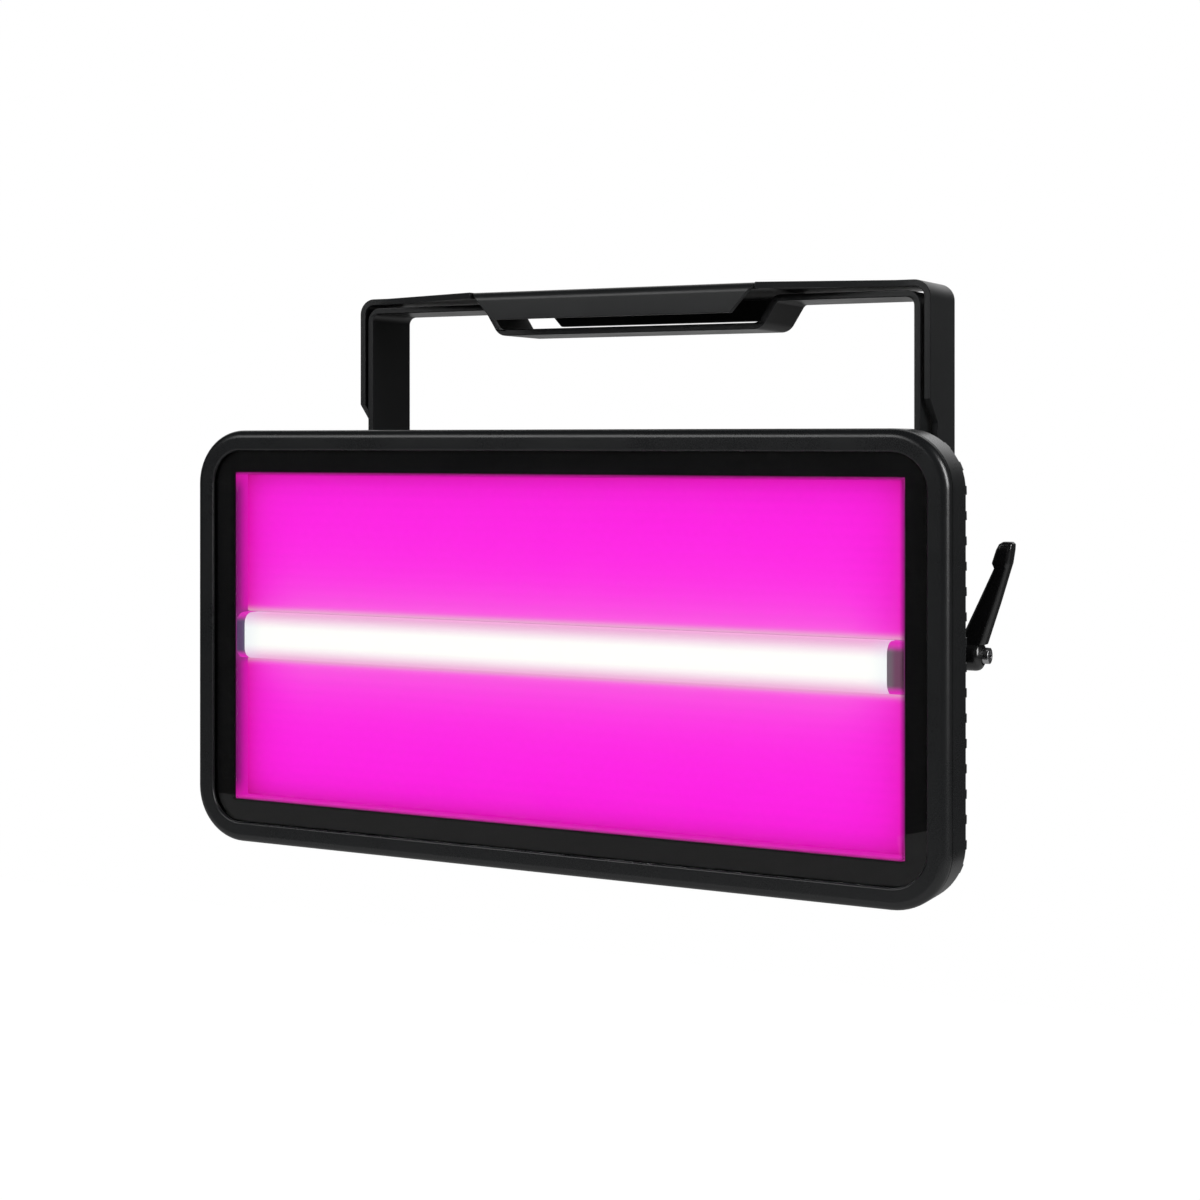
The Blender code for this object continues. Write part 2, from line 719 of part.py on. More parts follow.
def control_panel(looks, carrier):
    """The display window, the board behind it and the four menu buttons."""
    back = COVER_AT - 0.0023
    outline = rounded(DISPLAY_WIDTH, DISPLAY_HEIGHT, 0.001, DISPLAY_AT, 1)
    sheet("display_window", [outline], back, ON_FACE, looks["display"], carrier)
    outline = rounded(*CONTROL_SIZE, 0.002, (0.0, CONTROL_Z), 2)
    sheet(
        "control_board", [outline], back - GAP - BOARD, back - GAP, looks["board"], carrier
    )
    start = back - GAP + BUTTON_TRAVEL + GAP
    names = ["mode_button", "up_button", "down_button", "enter_button"]
    for name, x in zip(names, button_places()):
        at = (x, BUTTON_Z)
        slide = pivot(name + "_slide", (x, ON_FACE - REACH, BUTTON_Z + PANEL_Z), carrier)
        section = [(start, 0.0), (start, BUTTON_RADIUS + 0.0009)]
        section += [(COVER_AT - GAP, BUTTON_RADIUS + 0.0009), (COVER_AT - GAP, BUTTON_RADIUS)]
        top = ON_FACE + 0.0017
        section += [(top - 0.0005, BUTTON_RADIUS), (top, BUTTON_RADIUS - 0.0005), (top, 0.0)]
        rear_turned(name, section, at, looks["button"], slide, steps=20)


def flange(name, at, hole, thickness=FLANGE):
    """The square flange of a panel socket, joined to its barrel."""
    outlines = [rounded(FLANGE_WIDTH, FLANGE_HEIGHT, 0.003, at, 3)]
    if hole:
        outlines.append(circle(hole, at, 24))
    return sheet(name, outlines, ON_FACE, ON_FACE + thickness)


def cup_socket(name, at, look, carrier, contacts):
    """A socket with a round cup that is open to the rear, and contacts on the cup's floor."""
    front_end, mouth = ON_FACE - SOCKET_DEPTH, ON_FACE + CUP_RISE
    floor = mouth - CUP_DEPTH
    section = [(front_end, 0.0), (front_end, BARREL_RADIUS), (mouth, BARREL_RADIUS)]
    section += [(mouth, CUP_RADIUS), (floor, CUP_RADIUS), (floor, 0.0)]
    made = rear_turned(name, section, at, look, carrier, steps=24)
    middle = (BARREL_RADIUS + CUP_RADIUS) / 2
    pins = sheet(name + "_contacts", contacts, floor - 0.001, mouth - 0.0065)
    return join(made, flange(name + "_flange", at, middle), pins)


def data_pins(at, radius=PIN_CIRCLE):
    """Three round places in a triangle."""
    places = [math.radians(a) for a in (30, 150, 270)]
    return [(at[0] + radius * math.cos(a), at[1] + radius * math.sin(a)) for a in places]


def power_blades(at):
    """Three flat contacts."""
    return [rounded(0.0014, 0.0055, 0.0003, (at[0] + x, at[1]), 1) for x in (-0.005, 0, 0.005)]


def sockets(looks, carrier):
    at = (-SOCKET_X, POWER_Z)
    cup_socket("power_in_socket", at, looks["blue"], carrier, power_blades(at))
    at = (SOCKET_X, POWER_Z)
    cup_socket("power_out_socket", at, looks["grey"], carrier, power_blades(at))
    at = (-SOCKET_X, DATA_Z)
    pins = [circle(0.0012, place, 8) for place in data_pins(at)]
    cup_socket("dmx_in_socket", at, looks["steel"], carrier, pins)
    data_out(looks, carrier)


def data_out(looks, carrier):
    """The data output: a round face with three holes, and a latch that slides in its flange."""
    at = (SOCKET_X, DATA_Z)
    deep, top = ON_FACE - SOCKET_DEPTH, ON_FACE + DATA_FLANGE
    section = [(deep, 0.0), (deep, BARREL_RADIUS), (top - 0.001, BARREL_RADIUS)]
    section += [(top - 0.001, 0.0)]
    made = rear_turned("dmx_out_socket", section, at, looks["steel"], carrier, steps=24)
    face = flange("dmx_out_socket_flange", at, CUP_RADIUS, DATA_FLANGE)
    holes = [circle(0.0013, place, 8) for place in data_pins(at)]
    holes = sheet("dmx_out_socket_holes", holes, top - CUP_DEPTH + 0.001, top + 0.001)
    tab = (at[0], at[1] + LATCH_RISE)
    pocket = [rounded(LATCH_WIDTH + 2 * GAP, LATCH_HEIGHT + 2 * GAP, 0.0004, tab, 1)]
    pocket = sheet("latch_pocket", pocket, ON_FACE + 0.0006, top + 0.001)
    cut(join(made, face), holes, pocket)
    slide = pivot("dmx_out_latch_slide", (tab[0], top - REACH, tab[1] + PANEL_Z), carrier)
    outline = [rounded(LATCH_WIDTH, LATCH_HEIGHT, 0.0004, tab, 1)]
    sheet("dmx_out_latch", outline, top - 0.0006, top + 0.002, looks["steel"], slide)


def fuse(looks, carrier):
    deep, face = ON_FACE - FUSE_DEPTH, ON_FACE + FLANGE
    floor = deep + 0.002
    section = [(deep, 0.0), (deep, FUSE_BODY), (ON_FACE, FUSE_BODY), (ON_FACE, FUSE_FLANGE)]
    section += [(face, FUSE_FLANGE), (face, FUSE_BORE), (floor, FUSE_BORE), (floor, 0.0)]
    rear_turned("fuse_holder", section, FUSE_AT, looks["black"], carrier, steps=20)
    turn = pivot("fuse_cap_turn", (FUSE_AT[0], face - REACH, FUSE_AT[1] + PANEL_Z), carrier)
    low, seat = floor + GAP, face + GAP
    top, stem = seat + FUSE_CAP_RISE, FUSE_BORE - GAP
    section = [(low, 0.0), (low, stem), (seat, stem), (seat, FUSE_CAP)]
    section += [(top - 0.0005, FUSE_CAP), (top, FUSE_CAP - 0.0005), (top, 0.0)]
    made = rear_turned("fuse_cap", section, FUSE_AT, looks["black"], turn, steps=20)
    outline = [rounded(0.009, 0.0014, 0.0002, FUSE_AT, 1)]
    cut(made, sheet("fuse_cap_slot", outline, top - 0.0012, top + 0.001))


def safety_eye(look, carrier):
    """A bent steel bar on a foot, for the safety wire."""
    outline = rounded(0.030, 0.013, 0.003, EYE_AT, 3)
    made = sheet("safety_eye", [outline], ON_FACE, ON_FACE + EYE_FOOT, look, carrier)
    x, z = EYE_AT[0], EYE_AT[1] + PANEL_Z
    foot, crown = ON_FACE + EYE_FOOT / 2 - REACH, ON_FACE + 0.005 - REACH
    path = [(x + EYE_LOOP, foot, z)]
    for i in range(9):
        a = math.pi * i / 8
        path.append((x + EYE_LOOP * math.cos(a), crown + EYE_LOOP * math.sin(a), z))
    path.append((x - EYE_LOOP, foot, z))
    return join(made, rod("safety_eye_bar", path, EYE_BAR))


def fan(side, looks, carrier):
    """One fan: frame with spokes, guard and rotor."""
    word = "right" if side > 0 else "left"
    at = (side * FAN_OFFSET, 0.0)
    start, end = COVER_AT - GAP - FAN_DEPTH, COVER_AT - GAP
    bore = FAN_BORE / 2
    square = rounded(FAN_SIZE, FAN_SIZE, 0.004, at, 2)
    name = word + "_fan_frame"
    made = sheet(name, [square, circle(bore, at)], start, end, looks["black"], carrier)
    inner, outer = FAN_HUB - 0.001, bore - 0.0008
    holes = [sector(inner, outer, SPOKE_HALF, i, at, root=SPOKE_ROOT) for i in range(4)]
    spokes = [circle(bore + 0.0008, at), *holes]
    spokes_at = start + 0.0005
    join(made, sheet(name + "_spokes", spokes, spokes_at, spokes_at + SPOKES))
    step = (bore - 0.008) / 4
    rings = [(0.0095 + step * i, 0.0077 + step * (i + 1)) for i in range(4)]
    openings = [sector(a, b, 0.0018, i, at) for a, b in rings for i in range(4)]
    outline = rounded(FAN_SIZE, FAN_SIZE, 0.006, at, 2)
    sheet(word + "_fan_guard", [outline, *openings], ON_FACE, ON_FACE + GUARD, looks["black"], carrier)
    spin = pivot(word + "_fan_spin", (at[0], end - REACH, PANEL_Z), carrier)
    low, high = spokes_at + SPOKES + GAP, end - 0.0022
    section = [(low, 0.0), (low, FAN_HUB), (high - 0.001, FAN_HUB), (high, FAN_HUB - 0.001)]
    section.append((high, 0.0))
    rotor = rear_turned(word + "_fan_rotor", section, at, looks["black"], spin)
    return join(rotor, blades(word + "_fan_blades", at, (low + high) / 2))


def blades(name, at, depth):
    """Flat blades set at a pitch, from inside the hub to near the bore."""
    work = bmesh.new()
    for i in range(BLADE_COUNT):
        a = math.tau * i / BLADE_COUNT
        out = (math.cos(a), 0.0, math.sin(a))
        along = (-math.sin(a), 0.0, math.cos(a))
        sin, cos = math.sin(BLADE_PITCH), math.cos(BLADE_PITCH)
        chord = (along[0] * cos, sin, along[2] * cos)
        normal = (-along[0] * sin, cos, -along[2] * sin)
        rings = []
        for radius, half in ((0.0135, 0.0055), (FAN_BORE / 2 - 0.002, 0.0085)):
            ring = []
            for c, n in ((half, 0.0006), (-half, 0.0006), (-half, -0.0006), (half, -0.0006)):
                point = [radius * out[k] + c * chord[k] + n * normal[k] for k in range(3)]
                place = (at[0] + point[0], depth - REACH + point[1], PANEL_Z + point[2])
                ring.append(work.verts.new(place))
            rings.append(ring)
        one, two = rings
        for k in range(4):
            work.faces.new((one[k - 1], one[k], two[k], two[k - 1]))
        work.faces.new(one)
        work.faces.new(two)
    bmesh.ops.recalc_face_normals(work, faces=work.faces)
    mesh = bpy.data.meshes.new(name)
    work.to_mesh(mesh)
    work.free()
    return in_scene(name, mesh)


# Yoke


def leg_outline():
    """The side view of an outer leg: its front edge jogs back to a neck, and its foot is round."""
    half, neck, r = STRIP_WIDTH / 2, STRIP_WIDTH / 2 - JOG, JOG_FILLET
    wide = PLATE_DEPTH / 2 + 0.005
    side = [(wide, 0.01), (wide, -STRIP - 0.01), (half + 0.005, -STRIP - 0.015)]
    side += [(half + 0.005, -AXIS_DROP), (EYE_RADIUS, -AXIS_DROP)]
    last = math.pi + math.acos(neck / EYE_RADIUS)
    for i in range(1, 15):
        a = last * i / 14
        side.append((EYE_RADIUS * math.cos(a), -AXIS_DROP - EYE_RADIUS * math.sin(a)))
    corner = -JOG_DROP - JOG
    for i in range(5):
        a = math.pi / 4 * i / 4
        low = corner - r * math.tan(math.pi / 8)
        side.append((-neck - r + r * math.cos(a), low + r * math.sin(a)))
    return side + [(-wide, -JOG_DROP + wide - half), (-wide, 0.01)]


def plan_outline():
    """The top view of the outer bracket: a strip that flares out to the clamp plate."""
    half, wide, far = STRIP_WIDTH / 2, PLATE_DEPTH / 2, OUTER_X + STRIP + 0.01
    inner = wide - FLAP_BEND
    quarter = [(far, half), (FLARE_HALF, half), (PLATE_HALF, wide), (PLATE_HALF, inner)]
    top = quarter + [(-x, y) for x, y in quarter[::-1]]
    return top + [(x, -y) for x, y in top[::-1]]


def outer_bracket(look):
    x, top = OUTER_X + STRIP / 2, -STRIP / 2
    foot = -AXIS_DROP - EYE_RADIUS - 0.005
    mid = OUTER_BEND - STRIP / 2
    path = [(-x, foot), (-x, top), (x, top), (x, foot)]
    wide = PLATE_DEPTH / 2
    name = "outer_bracket"
    made = plate(name, [strip(path, [mid, mid])], "Y", -wide - 0.002, wide + 0.002, look)
    far = OUTER_X + STRIP + 0.005
    change(made, plate("leg_shape", [leg_outline()], "X", -far, far), "INTERSECT")
    foot -= 0.01
    change(made, plate("plan_shape", [plan_outline()], "Z", foot, 0.01), "INTERSECT")
    return cut(join(made, flaps()), eye_holes(), clamp_holes())


def flaps():
    """The plate between the two flaps and the flaps themselves, with slanting ends."""
    wide, mid = PLATE_DEPTH / 2 - STRIP / 2, FLAP_BEND - STRIP / 2
    top = -STRIP / 2
    path = [(-wide, -FLAP_DROP), (-wide, top), (wide, top), (wide, -FLAP_DROP)]
    made = plate("flaps", [strip(path, [mid, mid], 4)], "X", -PLATE_HALF, PLATE_HALF)
    for vertex in made.data.vertices:
        side = math.copysign(1.0, vertex.co.x)
        vertex.co.x = side * (PLATE_HALF + FLAP_SLANT * vertex.co.z / FLAP_DROP)
    return made


def eye_holes():
    reach = OUTER_X + STRIP + 0.01
    hole = [(-reach, 0.0), (-reach, YOKE_BORE), (reach, YOKE_BORE), (reach, 0.0)]
    return turned("eye_holes", hole, "+X", (0.0, 0.0, -AXIS_DROP), steps=24)


def clamp_holes():
    """The bore for the clamp's bolt, and one on either side of it."""
    places = [(0.0, CLAMP_HOLE), (-SIDE_HOLE_X, SIDE_HOLE), (SIDE_HOLE_X, SIDE_HOLE)]
    outlines = [circle(radius, (x, 0.0), 24) for x, radius in places]
    return plate("clamp_holes", outlines, "Z", -STRIP - 0.005, 0.005)


def inner_bracket(look, carrier):
    """A strip whose top bar dips below the clamp plate."""
    x, bar = INNER_X + STRIP / 2, -STRIP - YOKE_GAP - STRIP / 2
    low = bar - DIP
    foot = -AXIS_DROP
    lower_half = DIP_TOP_HALF - DIP / math.tan(DIP_SLOPE)
    path = [(-x, foot), (-x, bar), (-DIP_TOP_HALF, bar), (-lower_half, low)]
    path += [(-px, pz) for px, pz in path[::-1]]
    corner = INNER_BEND - STRIP / 2
    bends = [corner, DIP_TOP_BEND, DIP_BEND, DIP_BEND, DIP_TOP_BEND, corner]
    outline = strip(path, bends, 4)
    half = STRIP_WIDTH / 2
    made = plate("inner_bracket", [outline], "Y", -half, half, look, carrier)
    eye = [circle(half, (0.0, -AXIS_DROP), 32)]
    for name, place in [("right_eye", INNER_X), ("left_eye", -INNER_X - STRIP)]:
        join(made, plate(name, eye, "X", place, place + STRIP))
    return cut(made, eye_holes())


# Levers


def lever_arm(side):
    """The arm, skinned over level sections: height above the axis, X from and to, half depth."""
    sections = [
        (0.0056, 0.1830, 0.1969, 0.0056),
        (0.0138, 0.1870, 0.1996, 0.0054),
        (0.0280, 0.1937, 0.2043, 0.0050),
        (0.0451, 0.2017, 0.2095, 0.0047),
        (0.0477, 0.2006, 0.2103, 0.0052),
        (0.0545, 0.2028, 0.2114, 0.0050),
        (0.0575, 0.2043, 0.2117, 0.0043),
        (0.0587, 0.2062, 0.2107, 0.0030),
    ]
    loops = []
    shift = HUB_X - 0.1803
    for z, low, high, deep in sections:
        loop = []
        for i in range(14):
            a = math.tau * i / 14
            x = abs(math.cos(a)) ** 0.7 * math.copysign((high - low) / 2, math.cos(a))
            y = abs(math.sin(a)) ** 0.7 * math.copysign(deep, math.sin(a))
            x += (low + high) / 2 + shift
            height = z if z < 0.01 else z * LEVER_HEIGHT / sections[-1][0]
            loop.append((side * x, y, height - AXIS_DROP))
        loops.append(loop)
    return loft("lever_arm", loops)


def lever(side, looks, clamp, lift):
    """One clamping lever: threaded insert, cap screw, spring and the handle round them."""
    word, way = ("right", "+X") if side > 0 else ("left", "-X")
    place = (0.0, 0.0, -AXIS_DROP)
    collar_end, core_end = COLLAR_X + COLLAR, COLLAR_X + COLLAR + CORE_LENGTH
    foot, bore, floor = BOX_WIDTH / 2 - 0.016, SCREW_RADIUS + GAP, COLLAR_X + 0.0012
    section = [(foot, 0.0), (foot, STUD_RADIUS - 0.0008), (foot + 0.0008, STUD_RADIUS)]
    section += [(COLLAR_X, STUD_RADIUS), (COLLAR_X, COLLAR_RADIUS), (collar_end, COLLAR_RADIUS)]
    section += [(collar_end, CORE_RADIUS), (core_end, CORE_RADIUS), (core_end, bore)]
    section += [(floor, bore), (floor, 0.0)]
    turned(word + "_lever_insert", section, way, place, looks["steel"], clamp, steps=18)

    head = HEAD_X + SCREW_HEAD
    section = [(floor + GAP, 0.0), (floor + GAP, SCREW_RADIUS), (HEAD_X, SCREW_RADIUS)]
    section += [(HEAD_X, SCREW_HEAD_RADIUS), (head - 0.0004, SCREW_HEAD_RADIUS)]
    section += [(head, SCREW_HEAD_RADIUS - 0.0004), (head, 0.0)]
    made = turned(word + "_cap_screw", section, way, place, looks["steel"], clamp, steps=24)
    deep = head - SCREW_KEY_DEPTH
    key = [(deep, 0.0), (deep, SCREW_KEY), (head + 0.001, SCREW_KEY), (head + 0.001, 0.0)]
    cut(made, turned(word + "_screw_key", key, way, place, steps=6))

    end = HUB_X + HUB_LENGTH
    drop = HUB_RADIUS - HUB_END_RADIUS
    section = [(HUB_X, 0.005), (HUB_X, HUB_RADIUS), (end - 1.15 * drop, HUB_RADIUS)]
    section += [(end - 0.6 * drop, HUB_RADIUS - 0.2 * drop), (end, HUB_END_RADIUS)]
    section += [(end, 0.0046), (CHAMBER_X, 0.0046)]
    section += [(CHAMBER_X, bore), (WEB_X, bore), (WEB_X, 0.005)]
    handle = turned(word + "_lever_handle", section, way, place, looks["lever"], lift, ring=True)
    arm = lever_arm(side)
    arm.name = word + "_lever_arm"
    smooth(join(handle, arm), 40)

    coil, start, stop = 0.0038, CHAMBER_X + GAP + SPRING_WIRE, HEAD_X - GAP - SPRING_WIRE
    path = []
    count = round(SPRING_TURNS * 14)
    for i in range(count + 1):
        a = math.tau * SPRING_TURNS * i / count
        x = start + (stop - start) * i / count
        path.append((side * x, coil * math.cos(a), coil * math.sin(a) - AXIS_DROP))
    rod(word + "_lever_spring", path, SPRING_WIRE, looks["steel"], clamp, 1)
    pitch = (stop - start) / SPRING_TURNS
    print(word, "lever spring: gap between its turns", round(1000 * (pitch - 2 * SPRING_WIRE), 2), "mm")


def washer(name, low, thickness, hole, radius, way, look, carrier):
    high = low + thickness
    section = [(low, hole), (low, radius), (high, radius), (high, hole)]
    turned(name, section, way, (0, 0, -AXIS_DROP), look, carrier, ring=True, steps=20)


def side_pieces(side, looks, housing, inner):
    """What sits on the tilt axis on one side, outwards from the box."""
    word, way = ("right", "+X") if side > 0 else ("left", "-X")
    axis = (0.0, 0.0, -AXIS_DROP)
    pivot_boss(word + "_pivot_boss", way, looks["alloy"], housing)
    rings = [
        ("_friction_washer", FRICTION_X, FRICTION_WASHER, STUD_BORE, FRICTION_RADIUS, "rubber", housing),
        ("_gap_washer", GAP_WASHER_X, GAP_WASHER, STUD_BORE, GAP_WASHER_RADIUS, "steel", inner),
        ("_lever_washer", WASHER_X, LEVER_WASHER, YOKE_BORE, LEVER_WASHER_RADIUS, "steel", None),
    ]
    for name, low, thickness, hole, radius, look, carrier in rings:
        washer(word + name, low, thickness, hole, radius, way, looks[look], carrier)
    clamp = pivot(word + "_lever_turn", axis, housing)
    lift = pivot(word + "_lever_lift", axis, clamp)
    lever(side, looks, clamp, lift)


def power_supply(look, carrier):
    width, depth, height = SUPPLY_SIZE
    start = FINS_END + GAP - REACH
    low = (-width / 2, start, PANEL_Z - height / 2)
    high = (width / 2, start + depth, PANEL_Z + height / 2)
    block("power_supply", low, high, look, carrier)


def looks_of_all():
    return {
        "housing": material("housing_plastic", (0.016, 0.016, 0.018), 0.55),
        "yoke": material("yoke_paint", (0.014, 0.014, 0.017), 0.5),
        "mask": material("mask_black", (0.004, 0.004, 0.005), 0.25),
        "glass": material("clear_glass", (0.9, 0.9, 0.92), 0.05),
        "diffuser": material("lit_magenta", (0.95, 0.01, 0.72), 0.5, 0.0, 1.0),
        "tube": material("lit_white", (0.96, 0.96, 0.92), 0.4, 0.0, 1.0),
        "cap": material("tube_cap", (0.12, 0.03, 0.12), 0.5),
        "white": material("white_plastic", (0.8, 0.8, 0.8), 0.5),
        "board": material("circuit_board", (0.02, 0.10, 0.04), 0.5),
        "alloy": material("aluminium", (0.6, 0.61, 0.62), 0.4, 1.0),
        "steel": material("zinc_steel", (0.55, 0.55, 0.56), 0.35, 1.0),
        "rubber": material("black_rubber", (0.015, 0.015, 0.015), 0.8),
        "black": material("black_plastic", (0.012, 0.012, 0.012), 0.5),
        "lever": material("lever_plastic", (0.012, 0.012, 0.014), 0.5),
        "button": material("button_plastic", (0.03, 0.03, 0.032), 0.5),
        "display": material("display_window", (0.01, 0.012, 0.02), 0.12),
        "blue": material("blue_plastic", (0.03, 0.12, 0.42), 0.45),
        "grey": material("grey_plastic", (0.42, 0.43, 0.44), 0.45),
    }


def main():
    for old in list(bpy.data.objects):
        bpy.data.objects.remove(old)
    for name in ("fx_panel_light", "cutters"):
        bpy.context.scene.collection.children.link(bpy.data.collections.new(name))
    looks = looks_of_all()
    axis = (0.0, 0.0, -AXIS_DROP)
    housing = pivot("housing_tilt", axis)
    inner = pivot("inner_bracket_tilt", axis, housing)
    front(looks, housing)
    light_box(looks["white"], housing)
    diffusers(looks["diffuser"], housing)
    tube(looks, housing)
    colour_boards(looks["board"], housing)
    heat_sink(looks["alloy"], housing)
    rear_housing(looks["housing"], housing)
    power_supply(looks["alloy"], housing)
    rear_cover(looks["housing"], housing)
    control_panel(looks, housing)
    sockets(looks, housing)
    fuse(looks, housing)
    safety_eye(looks["steel"], housing)
    outer_bracket(looks["yoke"])
    inner_bracket(looks["yoke"], inner)
    for side in (1, -1):
        fan(side, looks, housing)
        side_pieces(side, looks, housing, inner)


main()
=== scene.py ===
"""Fx panel light in a double yoke: its pieces, finishes, studio and camera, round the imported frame.

Lengths are metres in the part's frame: Z up, the light faces -Y, and the origin is the middle of
the clamp plate's top face.
"""

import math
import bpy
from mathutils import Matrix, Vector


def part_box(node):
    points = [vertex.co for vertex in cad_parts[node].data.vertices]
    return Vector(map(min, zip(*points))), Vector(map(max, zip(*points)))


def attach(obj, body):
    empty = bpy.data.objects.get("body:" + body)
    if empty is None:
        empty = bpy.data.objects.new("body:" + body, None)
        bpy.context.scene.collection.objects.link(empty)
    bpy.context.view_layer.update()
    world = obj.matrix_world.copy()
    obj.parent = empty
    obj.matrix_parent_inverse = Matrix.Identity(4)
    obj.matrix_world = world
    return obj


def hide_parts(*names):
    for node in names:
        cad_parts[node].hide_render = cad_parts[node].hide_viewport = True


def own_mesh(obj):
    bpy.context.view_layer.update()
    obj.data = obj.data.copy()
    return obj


bl_info = {
    "name": "Fx Panel Light",
    "version": (1, 0, 0),
    "blender": (4, 5, 0),
    "location": "3D View > Sidebar > Panel Light",
    "description": "Builds a lit fx panel light in a double yoke, and its studio",
    "category": "Object",
}

import bmesh
import bpy
from bpy.props import FloatProperty, FloatVectorProperty, IntProperty, PointerProperty
from mathutils import Vector

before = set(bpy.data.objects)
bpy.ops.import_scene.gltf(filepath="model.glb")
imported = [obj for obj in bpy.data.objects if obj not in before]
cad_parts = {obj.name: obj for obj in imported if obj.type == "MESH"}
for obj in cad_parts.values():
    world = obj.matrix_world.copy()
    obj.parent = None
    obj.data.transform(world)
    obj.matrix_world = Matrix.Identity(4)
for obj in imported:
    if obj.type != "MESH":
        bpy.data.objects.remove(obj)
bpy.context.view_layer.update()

# Levels that come from the frame
FRONT_LOW, FRONT_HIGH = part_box("front_bezel")
WIDTH, HEIGHT = FRONT_HIGH.x - FRONT_LOW.x, FRONT_HIGH.z - FRONT_LOW.z
FACE_Y, MIDDLE_Z = FRONT_LOW.y, (FRONT_LOW.z + FRONT_HIGH.z) / 2
FRAME_DEPTH = FRONT_HIGH.y - FRONT_LOW.y
AXIS_Z = sum(corner.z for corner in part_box("right_cap_screw")) / 2
COVER_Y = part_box("rear_cover")[1].y
# Which way each side lies along X
SIDES = ((1, "right"), (-1, "left"))
# Where the sockets' flanges sit on the cover
SEAT_Y = COVER_Y + 0.0003


# Sizes and colours that a user would change


def length(name, value, about):
    return FloatProperty(name=name, description=about, default=value, unit="LENGTH", precision=5)


def colour(name, value, about):
    return FloatVectorProperty(
        name=name, description=about, default=value, subtype="COLOR", min=0.0, max=1.0
    )


class FrontSettings(bpy.types.PropertyGroup):
    corner: length("Corner radius", 0.029, "Outside corner of the front frame")
    face: length("Face width", 0.0109, "From the frame's outside to its opening")
    fillet: length("Fillet", 0.0045, "Rounding of the frame's outer edge")
    inner_fillet: length("Inner fillet", 0.001, "Rounding of the frame's inner edge")
    lip: length("Lip", 0.0015, "Thickness of the frame at its opening")
    wall: length("Wall", 0.005, "Thickness of the frame's side")
    window_inset: length("Window inset", 0.0228, "From the outside to the lit window")
    tube_slide: length("Tube slide", 0.0014, "How far the tube sits left of the middle")
    dot_pitch: length("Dot pitch", 0.00139, "Step of the printed dots")
    dot: length("Dot size", 0.00085, "Diameter of the largest printed dots")


class GlowSettings(bpy.types.PropertyGroup):
    sheet: colour("Sheet", (0.985, 0.0060, 0.765), "Colour of the lit sheets")
    edge_up: colour("Upper edge", (0.62, 0.45, 0.44), "What is left above and below")
    edge_across: colour("Side edge", (0.68, 0.50, 0.46), "What is left at both sides")
    spill: colour("Spill", (0.645, 0.71, 0.515), "Light of the tube on the sheets")
    tube: colour("Tube", (0.98, 0.99, 0.955), "Middle of the lit tube")
    tube_side: colour("Tube side", (0.79, 0.34, 0.62), "Upper and lower side of the lit tube")
    # Painted light: the glow of the sheets' light on the light box's walls, beside the mask and deep
    # in the box
    wall_front: colour("Wall, front", (0.15, 0.003, 0.105), "Side wall beside the mask")
    wall_up: colour("Wall, up", (0.52, 0.006, 0.30), "Upper and lower wall beside the mask")
    wall_deep: colour("Wall, deep", (0.62, 0.004, 0.39), "Light box wall beside the sheets")


class RearSettings(bpy.types.PropertyGroup):
    rib_count: IntProperty(name="Ribs", description="Ribs round the shoulder", default=106, min=4)
    rib_width: length("Rib width", 0.0042, "Width of one rib")
    rib_reach: length("Rib reach", 0.0022, "How far a rib runs back along the rim")
    blade_count: IntProperty(name="Fan blades", description="Blades of one fan", default=7, min=3)
    led_pitch: length("LED pitch", 0.0075, "Step of the LEDs on their boards")


class YokeSettings(bpy.types.PropertyGroup):
    strip: length("Strip", 0.0035, "Thickness of both brackets")
    width: length("Strip width", 0.040, "Width of both brackets")
    outer_bend: length("Outer bend", 0.009, "Outside radius of the outer bracket's bends")
    inner_bend: length("Inner bend", 0.008, "Outside radius of the inner bracket's bends")
    edge: length("Edge", 0.0004, "Rounding of the cut edges")


class StudioSettings(bpy.types.PropertyGroup):
    floor_drop: length("Floor", 0.72, "Floor below the light")
    upper: FloatProperty(name="Upper", description="Radiance of the upper softbox", default=3.4)
    side: FloatProperty(name="Side", description="Radiance of the side softbox", default=13.0)
    fill: FloatProperty(name="Fill", description="Radiance of the front fill", default=6.0)


class PanelLightSettings(bpy.types.PropertyGroup):
    front: PointerProperty(type=FrontSettings)
    glow: PointerProperty(type=GlowSettings)
    rear: PointerProperty(type=RearSettings)
    yoke: PointerProperty(type=YokeSettings)
    studio: PointerProperty(type=StudioSettings)


# Finishes


class Wire:
    """A shader socket; arithmetic on it adds Math nodes."""

    def __init__(self, look, socket):
        self.look, self.socket = look, socket

    def math(self, operation, *values):
        return self.look.add("Math", {"operation": operation}, dict(enumerate(values)))

    def __add__(self, other):
        return self.math("ADD", self, other)

    def __sub__(self, other):
        return self.math("SUBTRACT", self, other)

    def __rsub__(self, other):
        return self.math("SUBTRACT", other, self)

    def __mul__(self, other):
        return self.math("MULTIPLY", self, other)

    def __truediv__(self, other):
        return self.math("DIVIDE", self, other)

    def __rpow__(self, other):
        return self.math("POWER", other, self)

    def __abs__(self):
        return self.math("ABSOLUTE", self)

    __radd__, __rmul__ = __add__, __mul__

    def step(self, low, high):
        """A smooth step from 0 at low to 1 at high."""
        settings = {"interpolation_type": "SMOOTHSTEP"}
        return self.look.add("MapRange", settings, {0: self, 1: low, 2: high})


